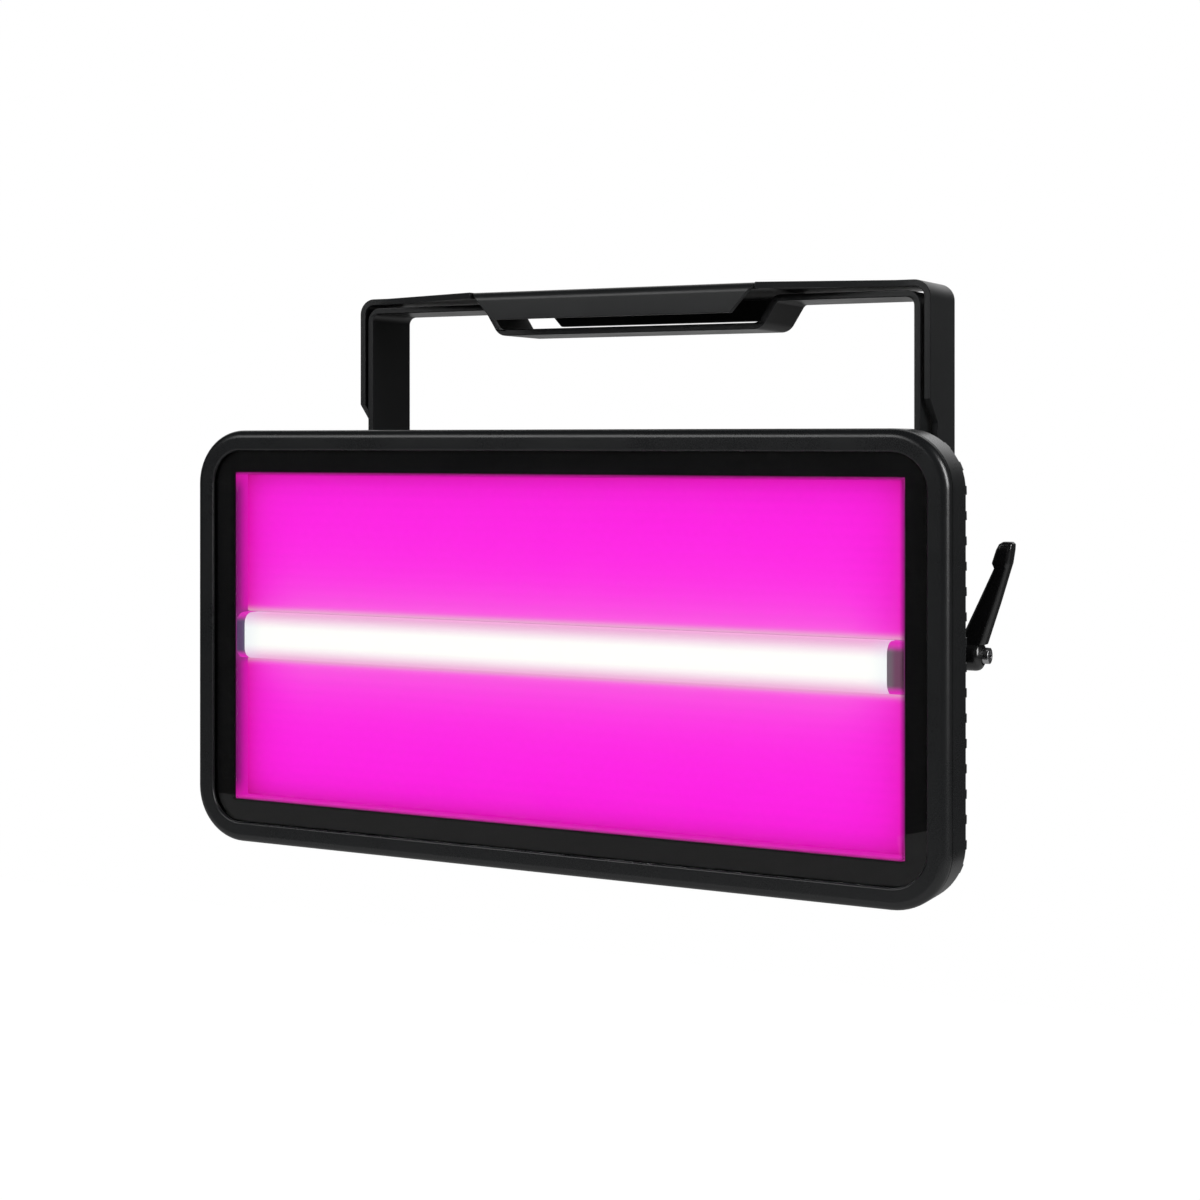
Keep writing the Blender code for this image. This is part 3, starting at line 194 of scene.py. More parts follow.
class Look:
    """A material, or a world, in the making."""

    def __init__(self, name, kind="materials", place="Object"):
        self.made = getattr(bpy.data, kind).new(name)
        self.made.use_nodes = True
        self.nodes, self.links = self.made.node_tree.nodes, self.made.node_tree.links
        self.nodes.clear()
        self.place = self.add("TexCoord", output=place)

    def add(self, kind, settings=None, inputs=None, output=0):
        """Adds a node: its settings first, then the values and links of its sockets."""
        node = self.nodes.new("ShaderNode" + kind)
        for key, value in (settings or {}).items():
            setattr(node, key, value)
        for key, value in (inputs or {}).items():
            if isinstance(value, Wire):
                self.links.new(value.socket, node.inputs[key])
            else:
                node.inputs[key].default_value = value
        return Wire(self, node.outputs[output]) if node.outputs else None

    def axis(self, which):
        """X, Y or Z of the point, in metres."""
        return self.add("SeparateXYZ", None, {0: self.place}, which)

    def mix(self, factor, one, two, blend="MIX"):
        one, two = (v if isinstance(v, Wire) else (*v, 1.0) for v in (one, two))
        settings = {"data_type": "RGBA", "blend_type": blend}
        return self.add("Mix", settings, {0: factor, 6: one, 7: two}, 2)

    def tint(self, factor, one, by):
        """Multiplies a colour by another, as far as factor says."""
        return self.mix(factor, one, by, "MULTIPLY")

    def noise(self, scale, detail, stretch=None):
        place = self.place
        if stretch:
            place = self.add("Mapping", None, {"Vector": place, "Scale": stretch})
        return self.add("TexNoise", None, {"Vector": place, "Scale": scale, "Detail": detail})

    def bump(self, height, strength, distance):
        inputs = {"Height": height, "Strength": strength, "Distance": distance}
        return self.add("Bump", None, inputs)

    def surface(self, inputs):
        """Ends the material with a Principled shader."""
        shader = self.add("BsdfPrincipled", None, inputs)
        self.add("OutputMaterial", None, {"Surface": shader})
        return self.made


# What makes up for the light that the front glass takes
BEHIND_GLASS = 1.087
# Half the height of the tube's lens
TUBE_HALF = 0.0125


def shade(rgb, by):
    return tuple(part * by for part in rgb)


def fall(distance, rate):
    """Falls off from 1 with the distance."""
    return 2.718 ** (distance * -rate)


def moulded(name, rgb, roughness, grain, depth, specular=0.4, spread=0.16):
    """Moulded or painted: a fine grain, with tone and gloss that drift over the surface."""
    look = Look(name)
    fine, broad = look.noise(grain, 2.0), look.noise(38.0, 4.0)
    tone = look.mix(broad * 0.7 + fine * 0.3, shade(rgb, 1 - spread), shade(rgb, 1 + spread))
    gloss = roughness + (broad - 0.5) * 0.12 + (fine - 0.5) * 0.1
    normal = look.bump(fine, 0.35, depth)
    return look.surface(
        {"Base Color": tone, "Roughness": gloss, "Specular IOR Level": specular, "Normal": normal}
    )


def metal(name, rgb, roughness, stretch=(1.0, 1.0, 1.0)):
    """Bare or plated metal with drawn or plated grain."""
    look = Look(name)
    fine, broad = look.noise(900.0, 3.0, stretch), look.noise(60.0, 3.0)
    tone = look.mix(broad, shade(rgb, 0.86), rgb)
    gloss = roughness + (fine - 0.5) * 0.22 + (broad - 0.5) * 0.12
    normal = look.bump(fine, 0.25, 0.00003)
    return look.surface(
        {"Base Color": tone, "Metallic": 1.0, "Roughness": gloss, "Normal": normal}
    )


def glass(name):
    look = Look(name)
    inputs = {"Base Color": (1.0, 1.0, 1.0, 1.0), "Transmission Weight": 1.0, "IOR": 1.45}
    return look.surface({**inputs, "Roughness": look.noise(14.0, 3.0).step(0.5, 0.8) * 0.03})


def mask_print(name):
    look = Look(name)
    speck = look.noise(1400.0, 2.0)
    tone = look.mix(speck, (0.0012, 0.0013, 0.0014), (0.0022, 0.0023, 0.0026))
    return look.surface({"Base Color": tone, "Roughness": 0.6, "Specular IOR Level": 0.05})


def glowing(look, tone, base, roughness, specular=0.1):
    """Ends a lit finish, whose glow reaches the eye through the front glass."""
    inputs = {"Base Color": (*base, 1.0), "Roughness": roughness, "Specular IOR Level": specular}
    return look.surface({**inputs, "Emission Color": tone, "Emission Strength": BEHIND_GLASS})


def window_sides(look):
    """How far a point of the window is from the mask, sideways and up or down."""
    inset = settings().front.window_inset
    across = WIDTH / 2 - inset - abs(look.axis("X"))
    up = HEIGHT / 2 - inset - abs(look.axis("Z") - MIDDLE_Z)
    return across, up


def lit_sheet(name):
    """The opal sheets: coloured light, dimmer beside the mask, paler beside the tube."""
    glow = settings().glow
    look = Look(name)
    across, up = window_sides(look)
    tone = look.tint(fall(up, 155.0), glow.sheet, glow.edge_up)
    tone = look.tint(fall(across, 100.0), tone, glow.edge_across)
    away = abs(look.axis("Z") - MIDDLE_Z) - TUBE_HALF
    ends = across.step(-0.01, 0.045)
    spill = 0.42 * fall(away * away, 182000.0) + ends * 0.155 * fall(away, 71.0)
    tone = look.mix(spill, tone, glow.spill)
    rows = look.add("TexWave", {"bands_direction": "Z"}, {"Vector": look.place, "Scale": 55.0})
    tone = look.tint(rows * 0.04, tone, (0.5, 0.5, 0.5))
    return glowing(look, tone, (0.012, 0.006, 0.01), 0.6)


def lit_tube(name):
    """The opal lens of the tube: white, and dimmer towards its upper and lower side."""
    glow = settings().glow
    look = Look(name)
    side = (abs(look.axis("Z") - MIDDLE_Z) / TUBE_HALF).step(0.25, 1.15)
    tone = look.mix(side, glow.tube, glow.tube_side)
    end = abs(look.axis("X")).step(0.172, 0.186)
    tone = look.mix(end * 0.25, tone, (0.55, 0.66, 0.80))
    return glowing(look, tone, (0.02, 0.02, 0.02), 0.5)


def tube_end(name):
    """Grey caps whose glow is painted light: different light on the right and left caps and on their
    inner and outer parts, and the coloured light's tint, most at their upper and lower corner.
    """
    look = Look(name)
    # Painted light on the caps, different on the right and left cap and on their inner and outer
    # parts
    right = look.axis("X").step(-0.1, 0.1)
    near = look.mix(right, (0.114, 0.110, 0.166), (0.143, 0.112, 0.140))
    far = look.mix(right, (0.085, 0.042, 0.118), (0.141, 0.047, 0.100))
    tone = look.mix(abs(look.axis("X")).step(0.185, 0.189), near, far)
    # Painted coloured light on the caps' upper and lower corners
    rise = abs(look.axis("Z") - MIDDLE_Z) / TUBE_HALF
    tone = look.mix(rise.step(0.6, 0.93), tone, (0.68, 0.025, 0.45))
    return glowing(look, tone, (0.02, 0.016, 0.02), 0.5)


def box_wall(name):
    """White walls of the light box, with the sheets' light on them painted as glow, dim in front and
    with painted shade beside the tube.
    """
    glow = settings().glow
    look = Look(name)
    # Painted light of the sheets on the walls: brighter on the upper and lower walls than on the side
    # walls in front, brightest deep beside the sheets
    front = look.mix(window_sides(look)[1].step(0.0, 0.012), glow.wall_up, glow.wall_front)
    depth = look.axis("Y") - FACE_Y
    tone = look.mix(depth.step(0.005, 0.0165), front, glow.wall_deep)
    rise = abs(look.axis("Z") - MIDDLE_Z)
    # Painted shade on the walls beside the tube
    tone = look.mix(1.0 - rise.step(0.010, 0.017), tone, (0.20, 0.02, 0.15))
    return glowing(look, tone, (0.03, 0.024, 0.03), 0.55, specular=0.5)


def circuit(name):
    """Green solder mask over copper tracks, with pale pads."""
    look = Look(name)
    upright = look.add("Mapping", None, {"Vector": look.place, "Rotation": (1.5708, 0, 0)})
    colours = {"Color1": (0.02, 0.16, 0.055, 1.0), "Color2": (0.012, 0.11, 0.04, 1.0)}
    joints = {"Mortar": (0.03, 0.24, 0.08, 1.0), "Mortar Size": 0.04}
    track = look.add("TexBrick", None, {"Vector": upright, "Scale": 90.0, **colours, **joints})
    fine = look.noise(500.0, 2.0)
    tone, gloss = look.mix(fine * 0.3, track, (0.01, 0.07, 0.03)), 0.3 + fine * 0.15
    normal = look.bump(fine, 0.2, 0.00004)
    return look.surface({"Base Color": tone, "Roughness": gloss, "Normal": normal})


def display(name):
    """A dark window, its faint light from behind painted into the base colour, lighter towards the
    middle.
    """
    look = Look(name)
    # Painted backlight: the base colour is lighter towards the middle of the window
    across = 1.0 - abs(look.axis("X")) / 0.031
    tone = look.mix(across.step(0.0, 0.6), (0.004, 0.005, 0.008), (0.012, 0.016, 0.03))
    smear = look.noise(90.0, 3.0)
    return look.surface(
        {"Base Color": tone, "Roughness": 0.08 + smear.step(0.5, 0.8) * 0.1, "Coat Weight": 0.6}
    )


# One maker for each finish of the record
FINISHES = {
    "housing_plastic": lambda n: moulded(n, (0.0040, 0.0044, 0.0049), 0.29, 2200.0, 0.00003, 0.56),
    "yoke_paint": lambda n: moulded(n, (0.0062, 0.0067, 0.0071), 0.35, 1500.0, 0.00006, 0.45),
    "mask_black": mask_print,
    "clear_glass": glass,
    "lit_magenta": lit_sheet,
    "lit_white": lit_tube,
    "tube_cap": tube_end,
    "white_plastic": box_wall,
    "circuit_board": circuit,
    "aluminium": lambda n: metal(n, (0.62, 0.63, 0.64), 0.38, (1.0, 1.0, 14.0)),
    "zinc_steel": lambda n: metal(n, (0.55, 0.55, 0.56), 0.28),
    "black_rubber": lambda n: moulded(n, (0.014, 0.014, 0.014), 0.75, 1200.0, 0.00005, 0.25),
    "black_plastic": lambda n: moulded(n, (0.012, 0.012, 0.013), 0.5, 2600.0, 0.00004, 0.35),
    "lever_plastic": lambda n: moulded(n, (0.0030, 0.0030, 0.0033), 0.24, 3000.0, 0.00002, 0.7),
    "button_plastic": lambda n: moulded(n, (0.03, 0.03, 0.032), 0.42, 2600.0, 0.00003),
    "display_window": display,
    "blue_plastic": lambda n: moulded(n, (0.03, 0.12, 0.42), 0.42, 2600.0, 0.00003),
    "grey_plastic": lambda n: moulded(n, (0.42, 0.43, 0.44), 0.42, 2600.0, 0.00003, spread=0.05),
}
made_looks = {}


def look_of(slot):
    """The finish of a slot, made when it is first asked for."""
    if slot not in made_looks:
        made_looks[slot] = FINISHES[slot](slot.replace("_", " "))
    return made_looks[slot]


def settings():
    return bpy.context.scene.panel_light


# Shapes


def between(start, end, steps):
    """Values from start to end, in equal steps."""
    return [start + (end - start) * i / steps for i in range(steps + 1)]


def polar(radius, angle, centre=(0.0, 0.0)):
    """A point at an angle on a circle."""
    return centre[0] + radius * math.cos(angle), centre[1] + radius * math.sin(angle)


def rounded(width, height, radius, centre=(0.0, 0.0), steps=16):
    """A rectangle with round corners, as points in the plane."""
    points = []
    for quarter, (sx, sy) in enumerate([(1, 1), (-1, 1), (-1, -1), (1, -1)]):
        middle = (centre[0] + sx * (width / 2 - radius), centre[1] + sy * (height / 2 - radius))
        start = quarter * math.pi / 2
        points += [polar(radius, a, middle) for a in between(start, start + math.pi / 2, steps)]
    return points


def circle(radius, centre=(0.0, 0.0), steps=64):
    return [polar(radius, a, centre) for a in between(0.0, math.tau, steps)[:-1]]


def sector(inner, outer, bar, quarter, centre, steps=16, root=1.0):
    """The opening between two spokes of half width bar, wider by root at their inner end."""
    points = []
    start = quarter * math.pi / 2
    for radius, way, half in [(inner, 1, bar * root), (outer, -1, bar)]:
        edge = math.asin(half / radius)
        angles = between(start + edge, start + math.pi / 2 - edge, steps)
        points += [polar(radius, a, centre) for a in angles[::way]]
    return points


def softened(points, radius, steps=4, closed=False):
    """A line of (u, v) points with its corners rounded."""
    made, count = [], len(points)
    for i, point in enumerate(points):
        if not closed and i in (0, count - 1):
            made.append(point)
            continue
        here = Vector(point)
        before, after = Vector(points[i - 1]) - here, Vector(points[(i + 1) % count]) - here
        cut = min(radius, before.length / 2, after.length / 2)
        one, two = here + before.normalized() * cut, here + after.normalized() * cut
        for t in between(0.0, 1.0, steps):
            made.append(tuple((1 - t) ** 2 * one + 2 * t * (1 - t) * here + t * t * two))
    return made


def box_loop(width, height, radius, depth):
    """A rounded outline round the panel's middle, at a depth behind the frame's face."""
    return [(x, FACE_Y + depth, MIDDLE_Z + z) for x, z in rounded(width, height, radius)]


def panel_loop(inset, depth, corner=None):
    """The outline of the panel, drawn in by inset."""
    radius = settings().front.corner - inset if corner is None else corner
    return box_loop(WIDTH - 2 * inset, HEIGHT - 2 * inset, radius, depth)


def skinned(loops, closed=True):
    """A mesh over loops of equal count, joined last to first if closed, or filled at both ends."""
    work = bmesh.new()
    rings = [[work.verts.new(point) for point in loop] for loop in loops]
    for one, two in zip(rings, rings[1:] + (rings[:1] if closed else [])):
        for i in range(len(one)):
            work.faces.new((one[i - 1], one[i], two[i], two[i - 1]))
    if not closed:
        work.faces.new(rings[0][::-1])
        work.faces.new(rings[-1])
    return work


def stepped(start, *steps, bore=0.0):
    """A turned section: from start, it keeps each (radius, along) as far as its along."""
    section = [(start, bore)]
    for radius, along in steps:
        section += [(section[-1][0], radius), (along, radius)]
    return section + [(section[-1][0], bore)]


def turned(section, place, steps=64):
    """Turns (along, radius) points; ends that lie on the axis are filled."""
    angles = between(0.0, math.tau, steps)[:-1]
    loops = [
        [place(along, *polar(radius, a)) for a in angles] for along, radius in section if radius
    ]
    return skinned(loops, closed=len(loops) == len(section))


def on_axis(section, side=1, steps=64):
    """Turns a section about the tilt axis, mirrored where side is -1."""
    return turned(section, lambda along, u, v: (side * along, u, AXIS_Z + v), steps)


def to_rear(section, x, z):
    """Turns a section about an axis along Y, at a place measured from the panel's middle."""
    return turned(section, lambda along, u, v: (x + u, along, MIDDLE_Z + z + v))


def plate(outlines, axis, low, high):
    """Fills outlines, the holes among them, and gives them thickness along X, Y or Z."""
    curve = bpy.data.curves.new("outline", "CURVE")
    curve.dimensions, curve.fill_mode, curve.extrude = "2D", "BOTH", 1.0
    for outline in outlines:
        spline = curve.splines.new("POLY")
        spline.points.add(len(outline) - 1)
        for point, (u, v) in zip(spline.points, outline):
            point.co = (u, v, 0.0, 1.0)
        spline.use_cyclic_u = True
    filled = bpy.data.objects.new("outline", curve)
    mesh = bpy.data.meshes.new_from_object(filled)
    work = bmesh.new()
    work.from_mesh(mesh)
    bpy.data.objects.remove(filled)
    bpy.data.curves.remove(curve)
    bpy.data.meshes.remove(mesh)
    bmesh.ops.remove_doubles(work, verts=work.verts, dist=1e-6)
    for vertex in work.verts:
        u, v, w = vertex.co.x, vertex.co.y, high if vertex.co.z > 0 else low
        vertex.co = {"X": (w, u, v), "Y": (u, w, v), "Z": (u, v, w)}[axis]
    return work


def facing(outlines, start, end):
    """A plate that faces the front, its outlines measured from the middle of the panel."""
    placed = [[(x, z + MIDDLE_Z) for x, z in outline] for outline in outlines]
    return plate(placed, "Y", start, end)


def linked(name, data):
    made = bpy.data.objects.new(name, data)
    bpy.context.scene.collection.objects.link(made)
    return made


def as_object(name, work):
    """Puts a mesh in the scene, its faces turned outwards."""
    if work.calc_volume(signed=True) < 0:
        bmesh.ops.reverse_faces(work, faces=work.faces)
    mesh = bpy.data.meshes.new(name)
    work.to_mesh(mesh)
    work.free()
    return linked(name, mesh)


def evaluated(made):
    """An object's mesh with its modifiers applied."""
    graph = bpy.context.evaluated_depsgraph_get()
    return bpy.data.meshes.new_from_object(made.evaluated_get(graph), depsgraph=graph)


def applied(made):
    """Turns an object's modifiers into plain mesh."""
    mesh = evaluated(made)
    made.modifiers.clear()
    made.data = mesh
    return made


def rod(half, radius):
    """A rod along the tilt axis, to cut bores with."""
    return as_object("rod", on_axis(stepped(-half, (radius, half))))


def combined(made, operation, *others):
    """Joins other objects to this one, or cuts them from it, and removes them."""
    for other in others:
        boolean = made.modifiers.new("combine", "BOOLEAN")
        boolean.operation, boolean.solver, boolean.object = operation, "MANIFOLD", other
    applied(made)
    for other in others:
        bpy.data.objects.remove(other)
    return made


def rounded_edges(made, width, limit, clamp=False):
    """Rounds the edges that turn by more than limit degrees."""
    bevel = made.modifiers.new("edges", "BEVEL")
    bevel.width, bevel.segments, bevel.use_clamp_overlap = width, 2, clamp
    bevel.limit_method, bevel.angle_limit = "ANGLE", math.radians(limit)
    return applied(made)


def piece(made, slot, body, *nodes, edge=0.0, limit=32, sharp=40):
    """Finishes an object as a piece: rounded edges, shading, its finish, body and CAD nodes."""
    if isinstance(made, tuple):
        made = as_object(*made)
    if edge:
        rounded_edges(made, edge, limit)
    made.data.shade_smooth()
    made.data.set_sharp_from_angle(angle=math.radians(sharp))
    weighted = made.modifiers.new("flats", "WEIGHTED_NORMAL")
    weighted.keep_sharp = True
    applied(made)
    made.data.materials.clear()
    made.data.materials.append(look_of(slot))
    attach(made, body)
    if nodes:
        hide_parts(*nodes)
    return made


def middle_of(node):
    """The middle of a CAD node's box, sideways and up from the panel's middle."""
    low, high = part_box(node)
    return (low.x + high.x) / 2, (low.z + high.z) / 2 - MIDDLE_Z


def ends_of(node):
    """How far from the middle a node on one side begins and ends."""
    low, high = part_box(node)
    return sorted((abs(low.x), abs(high.x)))


def keep(slot, *nodes):
    """Gives the frame's own nodes their finish."""
    for name in nodes:
        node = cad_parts[name]
        if not node.material_slots:
            node.data.materials.append(None)
        for held in node.material_slots:
            held.material = look_of(slot)


# Geometry Nodes


class Tree:
    """A Geometry Nodes tree that repeats a thing and gives it a finish."""

    KINDS = {"int": "Int", "float": "Float"}

    def __init__(self, name, thing, slot, **sizes):
        self.tree = bpy.data.node_groups.new(name, "GeometryNodeTree")
        interface, self.keys = self.tree.interface, {}
        interface.new_socket("Geometry", in_out="INPUT", socket_type="NodeSocketGeometry")
        for key, value in {"Thing": thing, "Look": look_of(slot), **sizes}.items():
            kind = type(value).__name__
            kind = "NodeSocket" + self.KINDS.get(kind, kind)
            socket = interface.new_socket(key, in_out="INPUT", socket_type=kind)
            self.keys[socket.identifier] = value
        interface.new_socket("Geometry", in_out="OUTPUT", socket_type="NodeSocketGeometry")
        self.thing = thing
        self.given = self.tree.nodes.new("NodeGroupInput").outputs

    def add(self, kind, inputs=None, output=0, **chosen):
        node = self.tree.nodes.new(kind)
        for key, value in chosen.items():
            setattr(node, key, value)
        for key, value in (inputs or {}).items():
            if isinstance(value, bpy.types.NodeSocket):
                self.tree.links.new(value, node.inputs[key])
            else:
                node.inputs[key].default_value = value
        return node.outputs[output]

    def repeat(self, made, **placing):
        """Ends the tree in real, finished copies, runs it on an object and leaves plain mesh."""
        shape = self.add("GeometryNodeObjectInfo", {"Object": self.given["Thing"]}, "Geometry")
        copies = self.add("GeometryNodeInstanceOnPoints", {"Instance": shape, **placing})
        real = self.add("GeometryNodeRealizeInstances", {0: copies})
        look = {"Geometry": real, "Material": self.given["Look"]}
        dressed = self.add("GeometryNodeSetMaterial", look)
        self.tree.links.new(dressed, self.tree.nodes.new("NodeGroupOutput").inputs[0])
        modifier = made.modifiers.new("nodes", "NODES")
        modifier.node_group = self.tree
        for identifier, value in self.keys.items():
            modifier[identifier] = tuple(value) if isinstance(value, Vector) else value
        name, mesh = made.name, evaluated(made)
        bpy.data.objects.remove(made)
        bpy.data.objects.remove(self.thing)
        return linked(name, mesh)


def line(points, closed=False):
    """A curve through points."""
    curve = bpy.data.curves.new("line", "CURVE")
    curve.dimensions = "3D"
    spline = curve.splines.new("POLY")
    spline.points.add(len(points) - 1)
    for point, place in zip(spline.points, points):
        point.co = (*place, 1.0)
    spline.use_cyclic_u = closed
    return curve


def along_path(name, path, thing, count, slot):
    """Repeats a thing round a path in the panel's plane: its X follows the path, its Y stays Y."""
    tree = Tree("along a path", thing, slot, Count=count)
    inputs = {"Curve": tree.given["Geometry"], "Count": tree.given["Count"]}
    points = tree.add("GeometryNodeCurveToPoints", inputs, "Points")
    align = "FunctionNodeAlignRotationToVector"
    turn = tree.add(align, {"Vector": points.node.outputs["Tangent"]}, axis="X")
    level = {"Rotation": turn, "Vector": (0.0, 1.0, 0.0)}
    turn = tree.add(align, level, axis="Y", pivot_axis="X")
    return tree.repeat(linked(name, line(path, closed=True)), Points=points, Rotation=turn)


def round_axis(name, thing, count, centre, slot):
    """Repeats a thing round an axis along Y through centre."""
    tree = Tree("round an axis", thing, slot, Count=count, Centre=centre)
    count = tree.given["Count"]
    points = tree.add("GeometryNodePoints", {"Count": count, "Position": tree.given["Centre"]})
    index = tree.add("GeometryNodeInputIndex")
    share = tree.add("ShaderNodeMath", {0: index, 1: count}, operation="DIVIDE")
    angle = tree.add("ShaderNodeMath", {0: share, 1: math.tau}, operation="MULTIPLY")
    turn = tree.add("ShaderNodeCombineXYZ", {"Y": angle})
    return tree.repeat(as_object(name, bmesh.new()), Points=points, Rotation=turn)


def on_grid(name, thing, size, counts, centre, slot):
    """Repeats a thing on a grid in the panel's plane."""
    sizes = dict(zip(("Size X", "Size Y", "Vertices X", "Vertices Y"), (*size, *counts)))
    tree = Tree("on a grid", thing, slot, **sizes, Centre=centre)
    grid = tree.add("GeometryNodeMeshGrid", {key: tree.given[key] for key in sizes})
    move = {"Geometry": grid, "Translation": tree.given["Centre"]}
    upright = tree.add("GeometryNodeTransform", {**move, "Rotation": (math.pi / 2, 0.0, 0.0)})
    return tree.repeat(as_object(name, bmesh.new()), Points=upright)


def at_places(name, thing, places, slot):
    """Repeats a thing at each of some places."""
    tree = Tree("at places", thing, slot)
    work = bmesh.new()
    for place in places:
        work.verts.new(place)
    return tree.repeat(as_object(name, work), Points=tree.given["Geometry"])


# Front


class PANEL_LIGHT_OT_front_frame(bpy.types.Operator):
    """Make the rounded frame round the glass"""

    bl_idname = "panel_light.front_frame"
    bl_label = "Front frame"

    def execute(self, context):
        sizes = context.scene.panel_light.front
        wide, r, inner, chamfer = sizes.face, sizes.fillet, sizes.inner_fillet, 0.0002
        section = [(0.0, FRAME_DEPTH - chamfer)]
        for a in between(0.0, math.pi / 2, 14):
            section.append((r * (1 - math.cos(a)), r * (1 - math.sin(a))))
        for a in between(0.0, math.pi / 2, 6):
            section.append((wide - inner * (1 - math.sin(a)), inner * (1 - math.cos(a))))
        section += [(wide, sizes.lip), (sizes.wall, sizes.lip)]
        section += [(sizes.wall, FRAME_DEPTH), (chamfer, FRAME_DEPTH)]
        loops = [panel_loop(inset, depth) for inset, depth in section]
        piece(("front_frame", skinned(loops)), "housing_plastic", "housing", "front_bezel")
        return {"FINISHED"}


class PANEL_LIGHT_OT_window(bpy.types.Operator):
    """Finish the glass, the gasket and the black mask, and print the dots round the window"""

    bl_idname = "panel_light.window"
    bl_label = "Glass and mask"

    def execute(self, context):
        sizes = context.scene.panel_light.front
        keep("clear_glass", "front_glass")
        keep("black_rubber", "glass_gasket")
        inset, corner, (low, high) = sizes.window_inset, 0.001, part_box("light_mask")
        outer, front, back = WIDTH / 2 - high.x, low.y - FACE_Y, high.y - FACE_Y
        loops = [panel_loop(outer, back), panel_loop(outer, front)]
        loops += [panel_loop(inset, depth, corner) for depth in (front, back)]
        piece(("window_mask", skinned(loops)), "mask_black", "housing", "light_mask")
        # The dots are printed on the glass, sunk so far into its outer face
        thick, sunk = 0.00008, 0.00001
        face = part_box("front_glass")[0].y - FACE_Y
        path = panel_loop(inset, face - thick / 2 + sunk, corner)
        count = round(2 * (WIDTH + HEIGHT - 4 * inset) / sizes.dot_pitch)
        made = along_path("printed_dots", path, self.dots(sizes, thick), count, "mask_black")
        piece(made, "mask_black", "housing")
        return {"FINISHED"}

    @staticmethod
    def dots(sizes, thick, sides=8):
        """Three thin dots, each half a step on, smaller and further inside the window."""
        work = bmesh.new()
        half = sizes.dot_pitch / 2
        for row, share in enumerate((1.0, 0.86, 0.58)):
            ends = []
            for y in (-thick / 2, thick / 2):
                ring = circle(sizes.dot * share / 2, (row % 2 * half, row * 0.95 * half), sides)
                ends.append([work.verts.new((u, y, v)) for u, v in ring])
            work.faces.new(ends[0])
            work.faces.new(ends[1][::-1])
            for i in range(sides):
                work.faces.new((ends[0][i], ends[0][i - 1], ends[1][i - 1], ends[1][i]))
        return as_object("dots", work)


class PANEL_LIGHT_OT_light_source(bpy.types.Operator):
    """Finish the lit sheets, the tube, its caps and the light box round them"""

    bl_idname = "panel_light.light_source"
    bl_label = "Lit sheets and tube"

    def execute(self, context):
        keep("lit_magenta", "upper_diffuser", "lower_diffuser")
        keep("white_plastic", "light_box", "tube_reflector")
        slide, wall = context.scene.panel_light.front.tube_slide, 0.0016
        low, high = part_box("tube_lens")
        outline = self.section(low, high) + self.section(low, high, wall)[::-1]
        lens = plate([outline], "X", low.x - slide, high.x - slide)
        piece(("tube_glow", lens), "lit_white", "housing", "tube_lens", edge=0.0003)
        for word, near, far in (("right", slide, 0.0), ("left", 0.0, slide)):
            node = "tube_end_cap_" + word
            low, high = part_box(node)
            cap = plate([self.section(low, high)], "X", low.x - near, high.x - far)
            piece((f"tube_cap_{word}", cap), "tube_cap", "housing", node, edge=0.0005)
        return {"FINISHED"}

    @staticmethod
    def section(low, high, inset=0.0, edge=0.006):
        """The lens in YZ: a flat front with rounded edges, drawn in by inset."""
        half, r = (high.z - low.z) / 2 - inset, edge - inset
        points = [(high.y, MIDDLE_Z - half)]
        for side in (-1, 1):
            for a in between(0.0, math.pi / 2, 14)[::-side]:
                y = low.y + inset + r * (1 - math.sin(a))
                points.append((y, MIDDLE_Z + side * (half - r + r * math.cos(a))))
        return points + [(high.y, MIDDLE_Z + half)]


class PANEL_LIGHT_OT_boards(bpy.types.Operator):
    """Finish the boards and the heat sink, and set the LEDs on their boards"""

    bl_idname = "panel_light.boards"
    bl_label = "Boards and LEDs"

    def execute(self, context):
        pitch = context.scene.panel_light.rear.led_pitch
        keep("circuit_board", "control_board")
        keep("aluminium", "heat_sink", "power_supply")
        size, thick = 0.0028, 0.0007
        for node in ("rgb_led_board_upper", "rgb_led_board_lower", "white_led_board"):
            keep("circuit_board", node)
            low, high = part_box(node)
            wide, tall = high.x - low.x - 0.014, high.z - low.z - 0.008
            counts = (round(wide / pitch) + 1, round(tall / pitch) + 1)
            led = plate([rounded(size, size, 0.0003, steps=1)], "Y", 0.0, thick)
            centre = Vector((0.0, low.y - thick, (low.z + high.z) / 2))
            name, slot = node.replace("board", "chips"), "grey_plastic"
            made = on_grid(name, as_object("led", led), (wide, tall), counts, centre, slot)
            piece(made, slot, "housing")
        return {"FINISHED"}


# Yoke


# Radius of the bores on the tilt axis in both brackets
BORE = 0.0043


def strip(path, bends, thickness, steps=14):
    """The outline of a bent strip of sheet, from the corners of its middle line."""
    middle = []
    for before, corner, after, bend in zip(path, path[1:], path[2:], bends):
        a = math.atan2(corner[1] - before[1], corner[0] - before[0])
        turn = math.atan2(after[1] - corner[1], after[0] - corner[0]) - a
        turn = (turn + math.pi) % math.tau - math.pi
        back, side = bend * math.tan(abs(turn) / 2), math.copysign(1.0, turn)
        start = (corner[0] - back * math.cos(a), corner[1] - back * math.sin(a))
        cx, cy = start[0] - side * bend * math.sin(a), start[1] + side * bend * math.cos(a)
        for b in between(a, a + turn, steps):
            point = (cx + side * bend * math.sin(b), cy - side * bend * math.cos(b))
            middle.append((point, (-math.sin(b), math.cos(b))))
    ends = []
    for one, two, at in [(path[0], path[1], path[0]), (path[-2], path[-1], path[-1])]:
        a = math.atan2(two[1] - one[1], two[0] - one[0])
        ends.append((at, (-math.sin(a), math.cos(a))))
    middle = [ends[0], *middle, ends[1]]
    half = thickness / 2
    over = [(p[0] + half * n[0], p[1] + half * n[1]) for p, n in middle]
    under = [(p[0] - half * n[0], p[1] - half * n[1]) for p, n in middle]
    return over + under[::-1]


